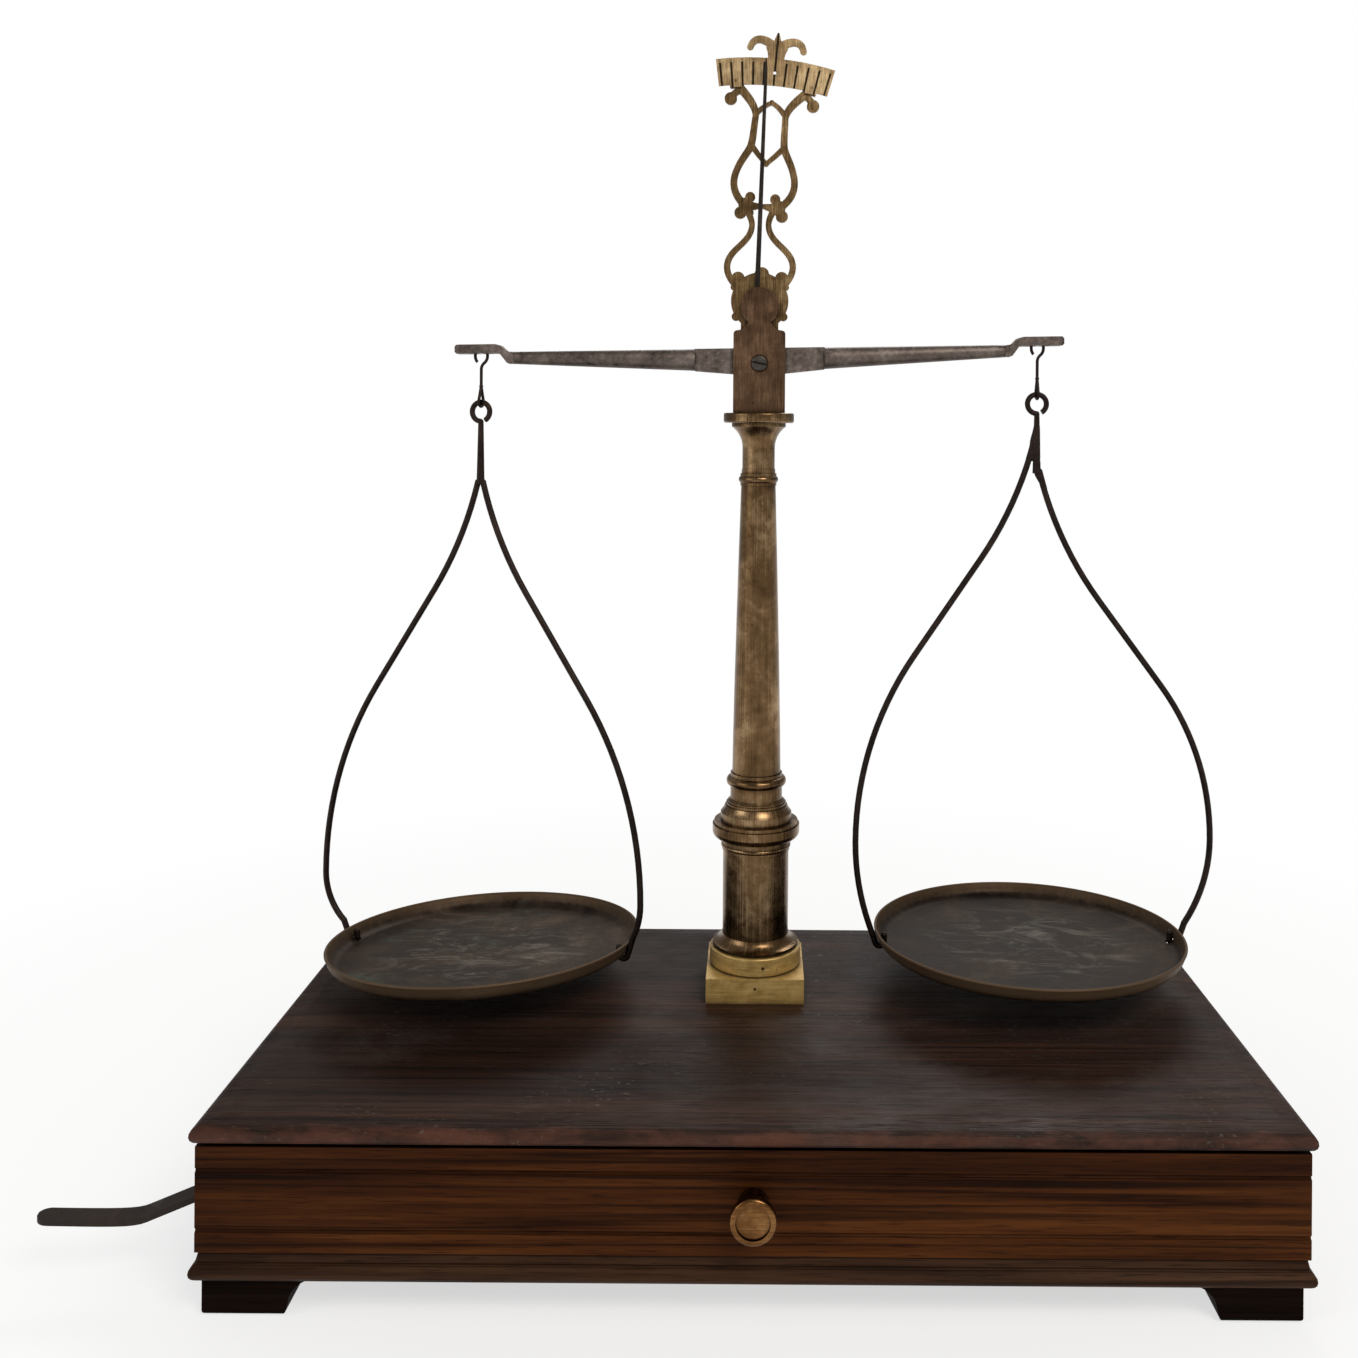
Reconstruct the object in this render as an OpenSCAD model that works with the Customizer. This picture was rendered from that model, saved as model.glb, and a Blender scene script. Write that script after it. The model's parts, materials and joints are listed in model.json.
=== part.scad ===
/* [Case] */
// Width of the wooden box, wall face to wall face
case_w = 468.3; // [380:0.1:560]
// Depth of the wooden box, drawer front to back board
case_d = 226.4; // [180:0.1:280]
// Height of the box walls
wall_h = 45.8; // [36:0.1:60]
// Thickness of the side and back boards
wall_t = 8; // [5:0.5:12]
// Distance from the drawer face back to the column axis
column_setback = 146; // [130:1:170]
// Thickness of the top board
top_t = 8.5; // [6:0.5:14]
// How far the top board stands out past the box
top_overhang = 2.2; // [1:0.1:8]
// Width of the bevel that runs round the top board
top_bevel_w = 12; // [6:0.5:20]
// Drop of that bevel
top_bevel_drop = 1; // [0.5:0.1:3]
// Thickness of the moulded base board
base_t = 11.2; // [8:0.1:18]
// How far the base moulding stands out past the box
base_overhang = 2.2; // [1:0.1:8]
// Height of the feet
foot_h = 16; // [8:0.5:25]
// Length of a foot along each side of the box
foot_l = 44.5; // [30:0.5:60]

/* [Drawer] */
// Thickness of the drawer front
drawer_front_t = 12; // [8:0.5:18]
// Thickness of the drawer sides and back
drawer_side_t = 6; // [4:0.5:10]
// Thickness of the drawer bottom
drawer_bottom_t = 4; // [2:0.5:6]
// Length of the drawer behind its front
drawer_l = 112; // [90:1:120]
// Height of the drawer sides
drawer_side_h = 34; // [20:1:36]
// Running gap round the drawer
drawer_gap = 0.3; // [0.2:0.1:1]
// Gap between the drawer front and the top board
drawer_top_gap = 1; // [0.4:0.1:3]
// Distance of the upper groove below the top of the drawer front
groove_top = 10; // [6:0.1:15]
// Distance of the lower groove above the foot of the drawer front
groove_bottom = 9.3; // [5:0.1:15]
// Radius of the two grooves
groove_r = 0.9; // [0.5:0.1:1.5]
// Radius of the knob's front disc
knob_r = 9.7; // [7:0.1:14]
// How far the knob stands out
knob_l = 14.5; // [10:0.5:20]
// Thickness of the partition beside the drawer
partition_t = 6; // [4:0.5:10]
// Width of the channel that holds the lever shaft
channel_w = 17.5; // [16:0.5:25]

/* [Column] */
// Side of the square brass plinth
plinth_w = 50; // [40:1:60]
// Height of the plinth
plinth_h = 12.5; // [8:0.5:18]
// Radius of the drum on the plinth
drum_r = 23.7; // [20:0.1:26]
// Height of the drum
drum_h = 9.5; // [6:0.5:12]
// Height of the pedestal between the drum and the shaft
pedestal_h = 73.1; // [60:0.1:90]
// Radius of the plain part of the pedestal
pedestal_r = 17.2; // [15:0.1:20]
// Radius of the large ring at the pedestal's head
torus_r = 22.8; // [20:0.1:26]
// Height of the left pan's rim above the top board as it hangs
pan_rise = 24.5; // [22:0.1:40]
// Radius at the foot of the shaft
shaft_r1 = 12.7; // [10:0.1:15]
// Radius at the top of the shaft
shaft_r2 = 8.8; // [7:0.1:12]
// Radius of the ring near the foot of the shaft
ring_r = 15.7; // [13:0.1:18]
// Height of the capital
capital_h = 29.3; // [24:0.1:40]
// Radius of the disc on the capital
disc_r = 18.5; // [15:0.1:24]
// Thickness of that disc
disc_t = 5.2; // [3:0.1:8]
// Radius of the spigot that joins one column piece to the next
spigot_r = 6.5; // [5.5:0.1:8]
// Length of a spigot
spigot_l = 8; // [5:0.5:12]
// Radius of the lifting rod inside the column
rod_r = 3; // [2:0.1:4]
// Radial play of the rod in the column and of the shaft in its bearings
running_fit = 0.05; // [0.02:0.01:0.1]
// Play between fixed pieces that fit into each other
seat_fit = 0.05; // [0.02:0.01:0.1]

/* [Lever] */
// Radius of the lever shaft
rock_r = 4; // [3:0.1:5]
// Height of the lever shaft above the base board
rock_h = 18.3; // [15:0.1:24]
// Distance of the handle in front of the column axis
handle_y = 112; // [100:1:125]
// Width of the flat handle
handle_w = 10; // [8:0.5:14]
// Thickness of the handle
handle_t = 2.8; // [2:0.1:4]
// Length of the sloping part of the handle from the shaft
handle_slope_l = 56.5; // [45:0.5:60]
// Slope of that part below level
handle_slope = 18.9; // [10:0.1:20]
// Length of the finger piece beyond the bend
handle_tip_l = 40; // [30:0.5:60]
// Rise of the finger piece above level
handle_rise = 6.5; // [0:0.5:10]
// Turn of the handle towards the front
handle_turn = 10; // [0:1:15]
// Travel of the head when the lever is pressed
lift = 12; // [8:0.5:14]
// Height of the lifting arm
arm_h = 7; // [5:0.5:8]
// Width of the lifting arm
arm_w = 8; // [6:0.5:10]

/* [Head] */
// Width of the cheeks
cheek_w = 27.1; // [22:0.1:34]
// Height of the square part of the cheeks
cheek_h = 43; // [40:0.5:52]
// Thickness of a cheek
cheek_t = 2.5; // [2:0.1:4]
// Width of the neck above the shoulders
neck_w = 10.9; // [8:0.1:14]
// Height of the head's centre above the cheeks' foot
cheek_head_z = 55.8; // [52:0.1:66]
// Radius of the round head of a cheek
cheek_head_r = 9.9; // [8:0.1:12]
// Side play of the beam between the cheeks
beam_side_gap = 0.8; // [0.4:0.1:1.5]
// Height of the screw above the cheeks' foot
screw_z = 25.8; // [22:0.1:28]
// Radius of the screw's shank
screw_r = 1.9; // [1.5:0.1:2.5]
// Radius of the screw's head
screw_head_r = 4; // [3:0.1:5]
// Height of the block between the cheeks
block_h = 15; // [10:0.5:18]
// Thickness of the fretted index plate
index_t = 2.2; // [1.5:0.1:3]
// Thickness of the index scale
scale_t = 1.3; // [1:0.1:2]
// Lean of the upper index plate to the right
index_lean = 5.1; // [0:0.1:6]
// Height of the index bridge above the cheeks' foot
index_bridge_z = 103.8; // [92:0.1:110]
// Height from the bridge to the middle of the scale
scale_rise = 80.8; // [70:0.1:90]
// Half angle of the scale
scale_half = 11.9; // [9:0.1:15]
// Height of the scale band
scale_h = 14.4; // [10:0.1:16]
// Number of marks on the scale
scale_marks = 11; // [5:2:21]

/* [Beam] */
// Distance from the centre knife to each end knife
arm_l = 146.5; // [120:0.5:170]
// Height of the centre knife above the cheeks' foot
knife_z = 37.2; // [36:0.1:40]
// How far the end knives lie below the centre knife
end_knife_drop = 1.3; // [0.5:0.1:3]
// Thickness of the beam between the cheeks
beam_t = 8; // [6:0.5:10]
// Depth of the beam beside the cheeks
beam_h = 13.6; // [12:0.1:15]
// Length of the flat part of the beam on each side
beam_flat_l = 34; // [28:0.5:40]
// Radius of the beam arm next to the flat part
beam_r1 = 5.7; // [5:0.1:6.5]
// Radius of the beam arm at its end
beam_r2 = 3.2; // [2.5:0.1:4]
// Length of the flattened end beyond the end knife
end_l = 13.6; // [10:0.1:18]
// Width of the flattened end
end_w = 10; // [8:0.5:14]
// Thickness of the flattened end
end_t = 4.7; // [4:0.1:6]
// Tilt of the beam as it hangs, right end up
beam_tilt = 1.2; // [-2:0.1:2]
// Width of the pointer at its foot
pointer_w = 2.9; // [2:0.1:4]
// Distance of the pointer's foot from the middle of the beam, to the left
pointer_off = 2.3; // [0:0.1:3]
// Height of the pointer's tip above the centre knife
pointer_l = 150; // [140:1:152]
// Lean of the pointer on the beam
pointer_lean = 3.1; // [0:0.1:4]

/* [Hangers] */
// Radius of the hook wire
hook_wire_r = 0.8; // [0.6:0.05:1.1]
// Radius of the hook's bend on the knife
crook_r = 3.2; // [2.8:0.1:4]
// Distance from the knife edge down to the bow's ring wire
hook_drop = 28.2; // [26:0.1:36]
// Radius of the eye of the hook
eye_r = 2.6; // [2.5:0.1:3.5]
// Radius of the bow wire
wire_r = 1.6; // [1.2:0.05:2]
// Radius of the ring on the bow
bow_ring_r = 5.05; // [4.8:0.05:7]
// Radius of the ring's wire
ring_wire_r = 1.4; // [1:0.05:1.5]
// Distance from the left ring's centre down to the pan's rim
bow_drop = 276; // [240:1:280]
// How much longer the right bow is
right_bow_extra = 2; // [0:0.1:4]
// Half width of the left bow at its widest
left_half_w = 91.5; // [88:0.1:100]
// Half width of the right bow at its widest
right_half_w = 94.5; // [88:0.1:100]
// Length of the stem under the ring on the left bow
left_stem = 32; // [15:0.5:45]
// Length of the stem down to where the right bow's outer wire parts
right_stem = 30.5; // [15:0.5:45]
// Length of the stem down to where the right bow's inner wire parts
right_inner_stem = 15; // [10:0.5:45]
// Height of the left bow's widest point above the rim
left_wide_z = 25; // [20:0.5:70]
// Height of the right bow's widest point above the rim
right_wide_z = 48; // [20:0.5:70]
// Bend radius of the bows' wires under the stem
bow_neck_r = 193; // [120:1:220]
// Bend radius of the left bow above its widest point
left_belly_r = 190; // [110:1:210]
// Bend radius of the right bow's outer wire above its widest point
right_belly_r = 136; // [110:1:210]
// Bend radius of the right bow's inner wire above its widest point
right_inner_belly_r = 172; // [110:1:210]
// Angle at which the two wires part below the stem
bow_spread = 14.2; // [8:0.1:18]
// Turn of the left bow about the upright
left_turn = -16; // [-40:1:40]
// Turn of the right bow about the upright
right_turn = 3; // [-40:1:40]
// Play between pieces that hang on each other
hang_gap = 0.12; // [0.05:0.01:0.3]

/* [Pans] */
// Radius of a pan at its rim
pan_r = 80.5; // [70:0.1:84]
// Depth of a pan
pan_h = 7.5; // [7:0.1:10]
// Thickness of the pan's sheet
pan_t = 1.2; // [0.8:0.1:2]
// Radius of the bend between bottom and wall
pan_bend_r = 7; // [5:0.1:7]
// Flare of the pan's wall
pan_flare = 20; // [8:1:20]
// Slant of the left pan, outer side down
left_pan_lean = 3.1; // [0:0.1:4]
// Slant of the right pan, outer side down
right_pan_lean = 0.3; // [0:0.1:4]
// Tip of the left pan, front side up
left_pan_tip = 3; // [0:0.1:4]
// Tip of the right pan, front side up
right_pan_tip = 1.3; // [0:0.1:4]
// Distance of the left pan's middle from its bow's upright, towards the column
left_pan_shift = 4; // [0:0.1:6]
// Distance of the right pan's middle from its bow's upright, towards the column
right_pan_shift = 3; // [0:0.1:6]
// Gap between the bow wire and the pan's rim
rim_gap = 0.28; // [0.2:0.01:0.4]

/* [Hidden] */
fine = 48;
base_z = foot_h;
wall_z = base_z + base_t;
top_z = wall_z + wall_h;
board_z = top_z + top_t;
front_y = -column_setback;
back_y = front_y + case_d;
top_w = case_w + 2*top_overhang;
top_d = case_d + 2*top_overhang;
base_w = case_w + 2*base_overhang;
base_d = case_d + 2*base_overhang;
wall_front_y = front_y + drawer_front_t + drawer_gap;
inner_x = case_w/2 - wall_t;
partition_x = -inner_x + channel_w;
drawer_x0 = partition_x + partition_t + drawer_gap;
drawer_x1 = inner_x - drawer_gap;
drawer_z = wall_z + drawer_gap;
drawer_back_y = front_y + drawer_front_t + drawer_l;
drawer_front_h = wall_h - drawer_gap - drawer_top_gap;
knob_z = drawer_z + drawer_front_h/2;
spindle_r = 2.4;

plinth_top = board_z + plinth_h;
drum_top = plinth_top + drum_h;
pedestal_top = drum_top + pedestal_h;
shaft_h = pan_rise + bow_drop + bow_ring_r + hook_drop + end_knife_drop + arm_l*sin(beam_tilt)
    - knife_z - 0.1 - capital_h - pedestal_h - drum_h - plinth_h;
shaft_top = pedestal_top + shaft_h;
capital_top = shaft_top + capital_h;
bore_r = rod_r + running_fit;
nut_h = 6;
nut_r = 12;

rock_x = -inner_x + channel_w/2;
rock_z = wall_z + rock_h;
rock_front = -(handle_y + handle_w/2 + 3);
hub_r = rock_r + 2.4;
bearing_w = channel_w - 3;
bearing_t = 8;
front_bearing_y = -handle_y + handle_w/2 + 6;
rear_bearing_y = arm_w/2 + 4;
rock_back = rear_bearing_y + bearing_t + 2;
slot_clear = 1.2;
slot_y = -handle_y - channel_w/2*tan(handle_turn) - wall_t*tan(handle_turn);
slot_w = handle_w/cos(handle_turn) + 2*wall_t*tan(handle_turn) + 2*slot_clear;
slot_mid_z = rock_z - (channel_w/2 + wall_t/2)*tan(handle_slope);
lever_angle = lift/(-rock_x)*180/PI;
slot_h = handle_t + wall_t*tan(handle_slope) + 2*slot_clear
       + 2*(channel_w/2 + wall_t)*sin(lever_angle);

head_gap = 0.1;
head_z = capital_top + head_gap;
cheek_y = beam_t/2 + beam_side_gap;
cheek_out = cheek_y + cheek_t;
index_y = cheek_out;
scale_y = index_y - scale_t;
rod_foot_h = 3;
rod_foot_r = 7;
nose_r = arm_h/2;
nose_gap = 0.2;
rod_foot_z = rock_z + nose_r + nose_gap;
rod_top_z = head_z + block_h - 5;
shoulder_r = (cheek_w - neck_w)/2 - 1.6;
shoulder_z = cheek_h + shoulder_r;

knife_h = head_z + knife_z;
knife_edge_gap = 0.08;
knife_r = 3.6;
bearing_r = 4.4;
bearing_depth = 1.6;
knife_len = 2*(cheek_y + bearing_depth) - 0.6;
beam_top = -3.2;
hub_w = 24;
hub_up = 4.5;
screw_drop = knife_z - screw_z;
screw_play = screw_drop*sin(2.5) + 0.4;
end_top = -end_knife_drop + 2.0;
end_slot_l = 2*crook_r + 2*hook_wire_r + 4.4;
end_slot_w = 2*hook_wire_r + 2.2;
end_knife_r = 1.6;
arm_end = arm_l - 15.5;
rise_end = arm_l - 9;
pointer_foot = knife_r + 0.6;
hub_neck = 3.2;
pointer_tip_w = 1.7;

left_knife = [-arm_l*cos(beam_tilt) + end_knife_drop*sin(beam_tilt), 0,
    knife_h - arm_l*sin(beam_tilt) - end_knife_drop*cos(beam_tilt)];
right_knife = [arm_l*cos(beam_tilt) + end_knife_drop*sin(beam_tilt), 0,
    knife_h + arm_l*sin(beam_tilt) - end_knife_drop*cos(beam_tilt)];
crook_drop = crook_r - hook_wire_r - hang_gap;
eye_z = -hook_drop + eye_r - hook_wire_r - ring_wire_r - hang_gap;
eye_top = 8;
eye_half = asin(eye_r/eye_top);
ring_z = -hook_drop - bow_ring_r;

wire_off = wire_r + rim_gap;
hook_phi = 55;
pan_mid = pan_bend_r - pan_t/2;
u_r = (wire_off + pan_bend_r - pan_mid*cos(hook_phi - pan_flare))
    /(1 + sin(hook_phi - pan_flare));
bend_t = (pan_h - pan_bend_r + pan_bend_r*sin(pan_flare))/cos(pan_flare);
bend_c = [pan_r - bend_t*sin(pan_flare) - pan_bend_r*cos(pan_flare), pan_bend_r - pan_h];
u_c = bend_c + pan_mid*[cos(hook_phi), -sin(hook_phi)] + u_r*[sin(hook_phi), cos(hook_phi)];
right_bow_drop = bow_drop + right_bow_extra;
hole_z = bend_c[1] - pan_mid*sin(hook_phi);
leg_up = 5;
leg_in = [pan_r, 0] + wire_off*[cos(pan_flare), -sin(pan_flare)];
leg_end = leg_in + leg_up*[sin(pan_flare), cos(pan_flare)];
hole_play = 0.9;
hole_r = wire_r + hole_play;

wood_dark = [0.16, 0.08, 0.05];
wood_red = [0.36, 0.15, 0.08];
brass = [0.60, 0.46, 0.22];
iron = [0.22, 0.18, 0.16];
pan_metal = [0.30, 0.27, 0.22];

// A cubic curve, its direction, and a flat band of changing width along a run of such curves
function curve(p, t) = p[0]*pow(1 - t, 3) + 3*p[1]*t*pow(1 - t, 2) + 3*p[2]*t*t*(1 - t) + p[3]*t*t*t;
function slope(p, t) = (p[1] - p[0])*pow(1 - t, 2) + 2*(p[2] - p[1])*t*(1 - t) + (p[3] - p[2])*t*t;
function across(v) = [-v[1], v[0]]/norm(v);
function strip_side(p, w, k, n, side) = [for (i = [0:k - 1], j = [0:(i == k - 1 ? n : n - 1)])
    let(q = [for (m = [0:3]) p[3*i + m]], t = j/n)
    curve(q, t) + side*across(slope(q, t))*(w[i] + (w[i + 1] - w[i])*t)/2];
function reversed(p) = [for (i = [len(p) - 1:-1:0]) p[i]];
module band(p, w, n = 10) {
    k = (len(p) - 1)/3;
    polygon(concat(strip_side(p, w, k, n, 1), reversed(strip_side(p, w, k, n, -1))));
}
module both() {
    children();
    mirror([1, 0, 0]) children();
}
module dot(p, r) {
    translate(p) circle(r = r, $fn = fine);
}
// The same shapes as flat pieces of a plate of thickness t
module boss(p, r, t) {
    translate([p[0], p[1], 0]) cylinder(r = r, h = t, $fn = fine);
}
module strip(p, w, t, n = 10) {
    linear_extrude(height = t) band(p, w, n);
}

// A board with a moulded edge on all four sides, mitred at the corners
module moulded(w, d, zc) {
    intersection() {
        translate([0, zc + d/2, 0]) rotate([90, 0, 0]) linear_extrude(height = d) children(0);
        translate([-w/2, zc, 0]) rotate([90, 0, 90]) linear_extrude(height = w) children(1);
    }
}
function mirrored(p) = concat(p, [for (i = [len(p) - 1:-1:0]) [-p[i][0], p[i][1]]]);
function arc_points(c, r, a0, a1, n) = [for (i = [0:n]) let(a = a0 + (a1 - a0)*i/n) c + r*[cos(a), sin(a)]];
module top_profile(w) {
    nose = (top_t - top_bevel_drop)/2;
    polygon(mirrored(concat(arc_points([w/2 - nose, nose], nose, -90, 82, 8),
        [[w/2 - top_bevel_w, top_t]])));
}
module base_profile(w) {
    nose = base_t*0.32;
    foot = base_t - 4.4 - 2*nose;
    polygon(mirrored(concat([[w/2 - nose - 1, 0]],
        arc_points([w/2 - nose, foot + nose], nose, -80, 82, 8),
        [[w/2 - base_overhang - 0.2, base_t - 3.6], [w/2 - base_overhang - 1.1, base_t]])));
}
module top_board() color(wood_dark) {
    mid = (front_y + back_y)/2;
    difference() {
        translate([0, 0, top_z]) moulded(top_w, top_d, mid) {
            top_profile(top_w);
            top_profile(top_d);
        }
        translate([0, 0, top_z - 1]) cylinder(r = spigot_r + seat_fit, h = top_t + 2, $fn = fine);
    }
}
module base_board() color(wood_red) {
    mid = (front_y + back_y)/2;
    translate([0, 0, base_z]) moulded(base_w, base_d, mid) {
        base_profile(base_w);
        base_profile(base_d);
    }
}
// A bracket foot: square outside, coved on its two inner sides
module foot_profile() {
    cove = foot_h*0.72;
    polygon(concat(arc_points([2, 2], 2, 180, 270, 4),
        arc_points([foot_l + 3 - cove - 3.2, 2.6], 2.6, 270, 350, 4),
        arc_points([foot_l + 3, foot_h*0.24], cove, 178, 105, 8),
        [[foot_l, foot_h], [0, foot_h]]));
}
module foot() color(wood_dark) {
    intersection() {
        translate([0, foot_l, 0]) rotate([90, 0, 0]) linear_extrude(height = foot_l) foot_profile();
        rotate([90, 0, 90]) linear_extrude(height = foot_l) foot_profile();
    }
}
foot_x = case_w/2 - 2.5;
foot_y0 = front_y + 2;
foot_y1 = back_y - 2;
module foot_front_left() translate([-foot_x, foot_y0, 0]) foot();
module foot_front_right() translate([foot_x, foot_y0, 0]) mirror([1, 0, 0]) foot();
module foot_back_left() translate([-foot_x, foot_y1, 0]) mirror([0, 1, 0]) foot();
module foot_back_right() translate([foot_x, foot_y1, 0]) mirror([1, 0, 0]) mirror([0, 1, 0]) foot();

module side_right() color(wood_red) {
    translate([inner_x, wall_front_y, wall_z]) cube([wall_t, back_y - wall_front_y, wall_h]);
}
module side_left() color(wood_red) {
    difference() {
        translate([-case_w/2, wall_front_y, wall_z]) cube([wall_t, back_y - wall_front_y, wall_h]);
        translate([-case_w/2 - 1, slot_y - slot_w/2, slot_mid_z - slot_h/2]) {
            cube([wall_t + 2, slot_w, slot_h]);
        }
    }
}
module back_board() color(wood_red) {
    translate([-inner_x, back_y - wall_t, wall_z]) cube([2*inner_x, wall_t, wall_h]);
}
module drawer_partition() color(wood_red) {
    translate([partition_x, wall_front_y, wall_z]) {
        cube([partition_t, drawer_back_y - wall_front_y, wall_h]);
    }
}
module bearing() color(iron) {
    difference() {
        union() {
            translate([-bearing_w/2, 0, 0]) cube([bearing_w, bearing_t, rock_h]);
            translate([0, bearing_t, rock_h]) rotate([90, 0, 0]) {
                cylinder(r = bearing_w/2, h = bearing_t, $fn = fine);
            }
        }
        translate([0, bearing_t + 1, rock_h]) rotate([90, 0, 0]) {
            cylinder(r = rock_r + running_fit, h = bearing_t + 2, $fn = fine);
        }
    }
}
module bearing_front() translate([rock_x, front_bearing_y, wall_z]) bearing();
module bearing_rear() translate([rock_x, rear_bearing_y, wall_z]) bearing();

// The turned column: each piece has a spigot that sits in the piece below it
module turned(z0, bore) color(brass) {
    translate([0, 0, z0]) difference() {
        union() {
            rotate_extrude($fn = fine) children();
            translate([0, 0, -spigot_l]) cylinder(r = spigot_r, h = spigot_l + 1, $fn = fine);
        }
        translate([0, 0, -spigot_l - 1]) cylinder(r = bore_r, h = bore + spigot_l + 2, $fn = fine);
    }
}
module socket_cut(z) {
    translate([0, 0, z - spigot_l - 0.4]) {
        cylinder(r = spigot_r + seat_fit, h = spigot_l + 1, $fn = fine);
    }
}
module column_plinth() color(brass) {
    difference() {
        translate([-plinth_w/2, -plinth_w/2, board_z]) cube([plinth_w, plinth_w, plinth_h]);
        translate([0, 0, board_z - 1]) cylinder(r = spigot_r + seat_fit, h = plinth_h + 2, $fn = fine);
        translate([0, -plinth_w/2 + 2, board_z + plinth_h*0.6]) rotate([90, 0, 0]) {
            cylinder(r = 0.7, h = 4, $fn = 16);
        }
    }
}
module column_drum() color(brass) {
    tail = plinth_h + top_t + nut_h;
    difference() {
        union() {
            translate([0, 0, plinth_top]) rotate_extrude($fn = fine) {
                square([drum_r - 1, drum_h]);
                translate([0, 1]) square([drum_r, drum_h - 2]);
                dot([drum_r - 1, 1], 1);
                dot([drum_r - 1, drum_h - 1], 1);
            }
            translate([0, 0, plinth_top - tail]) cylinder(r = spigot_r, h = tail + 1, $fn = fine);
        }
        translate([0, 0, plinth_top - tail - 1]) cylinder(r = bore_r, h = tail + drum_h + 2, $fn = fine);
        socket_cut(drum_top);
        translate([4, -drum_r + 2, plinth_top + drum_h/2]) rotate([90, 0, 0]) {
            cylinder(r = 0.9, h = 4, $fn = 16);
        }
    }
}
module column_nut() color(brass) {
    translate([0, 0, top_z - nut_h]) difference() {
        cylinder(r = nut_r, h = nut_h, $fn = 6);
        translate([0, 0, -1]) cylinder(r = spigot_r + seat_fit, h = nut_h + 2, $fn = fine);
    }
}
// Pedestal: foot ring, cavetto, plain drum, large ring and the step under the shaft
module pedestal_profile() {
    flare = 6;
    ring_z = pedestal_h - 11.8;
    square([pedestal_r, pedestal_h - 10]);
    square([torus_r - 2, 1.2]);
    difference() {
        translate([0, 1.2]) square([pedestal_r + flare*0.85, flare*0.85]);
        dot([pedestal_r + flare, 1.2 + flare*1.1], flare);
    }
    translate([0, ring_z - 11.4]) square([pedestal_r + 0.5, 5]);
    dot([pedestal_r - 0.2, ring_z - 9.2], 1.3);
    translate([0, ring_z - 7]) square([pedestal_r + 1.4, 4]);
    dot([torus_r - 3.6, ring_z - 1.6], 3.6);
    translate([0, ring_z - 2]) square([torus_r, 4]);
    translate([0, ring_z + 1.9]) square([torus_r - 0.9, 1.9]);
    difference() {
        translate([0, ring_z + 3.6]) square([torus_r - 4.2, pedestal_h - ring_z - 3.6]);
        dot([torus_r - 4.2 + 7.6, pedestal_h + 3.4], 10.4);
    }
}
module column_pedestal() color(brass) {
    difference() {
        turned(drum_top, pedestal_h) pedestal_profile();
        socket_cut(pedestal_top);
    }
}
// Shaft: quarter hollow, bead ring, fillet and the long slow taper
module shaft_profile() {
    hollow = 6.6;
    bead_z = 12.6;
    square([shaft_r1 + 3, 1.4]);
    difference() {
        translate([0, 1.3]) square([shaft_r1 + 2.4, hollow]);
        dot([shaft_r1 - 0.6 + hollow*1.15, 1.3 + hollow*1.06], hollow*1.15);
    }
    square([shaft_r1 - 0.5, bead_z]);
    dot([ring_r - 2.6, bead_z], 2.6);
    square([ring_r - 2.6, bead_z + 2.6]);
    square([shaft_r1 + 0.9, bead_z + 4.3]);
    polygon(concat([[0, bead_z]],
        [for (i = [0:8]) [shaft_r1 - (shaft_r1 - shaft_r2)*pow(i/8, 1.25),
            bead_z + 4 + (shaft_h - bead_z - 4)*i/8]],
        [[0, shaft_h]]));
    dot([shaft_r2 - 0.5, shaft_h - 5.6], 2.1);
    translate([0, shaft_h - 8.8]) square([shaft_r2 + 0.7, 6.4]);
}
module column_shaft() color(brass) {
    difference() {
        turned(pedestal_top, shaft_h) shaft_profile();
        socket_cut(shaft_top);
    }
}
// Capital: neck, hollow flare and the disc that the head rests on
module capital_profile() {
    flare = capital_h - disc_t - 10.5;
    neck = shaft_r2 - 0.3;
    difference() {
        square([neck + flare*0.42, capital_h - disc_t]);
        dot([neck + flare*1.02, capital_h - disc_t - flare*0.97], flare*1.02);
        translate([neck, -1]) square([flare, capital_h - disc_t - flare*0.97 + 1]);
    }
    translate([0, capital_h - disc_t]) {
        square([disc_r - 1, disc_t]);
        translate([0, 1]) square([disc_r, disc_t - 2]);
        dot([disc_r - 1, 1], 1);
        dot([disc_r - 1, disc_t - 1], 1);
    }
}
module column_capital() turned(shaft_top, capital_h) capital_profile();

module drawer_front() color(wood_red) {
    groove_z = [drawer_front_h - groove_top, groove_bottom];
    translate([0, front_y, drawer_z]) difference() {
        translate([-case_w/2, 0, 0]) cube([case_w, drawer_front_t, drawer_front_h]);
        for (z = groove_z) {
            translate([-case_w/2 - 1, 0, z]) rotate([0, 90, 0]) {
                cylinder(r = groove_r, h = case_w + 2, $fn = 24);
            }
        }
        translate([0, drawer_front_t + 1, drawer_front_h/2]) rotate([90, 0, 0]) {
            cylinder(r = spindle_r + seat_fit, h = drawer_front_t + 2, $fn = 24);
        }
    }
}
module drawer_side_left() color(wood_dark) {
    translate([drawer_x0, front_y + drawer_front_t, drawer_z]) {
        cube([drawer_side_t, drawer_l, drawer_side_h]);
    }
}
module drawer_side_right() color(wood_dark) {
    translate([drawer_x1 - drawer_side_t, front_y + drawer_front_t, drawer_z]) {
        cube([drawer_side_t, drawer_l, drawer_side_h]);
    }
}
drawer_in_w = drawer_x1 - drawer_x0 - 2*drawer_side_t;
module drawer_back() color(wood_dark) {
    translate([drawer_x0 + drawer_side_t, drawer_back_y - drawer_side_t, drawer_z]) {
        cube([drawer_in_w, drawer_side_t, drawer_side_h]);
    }
}
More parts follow.
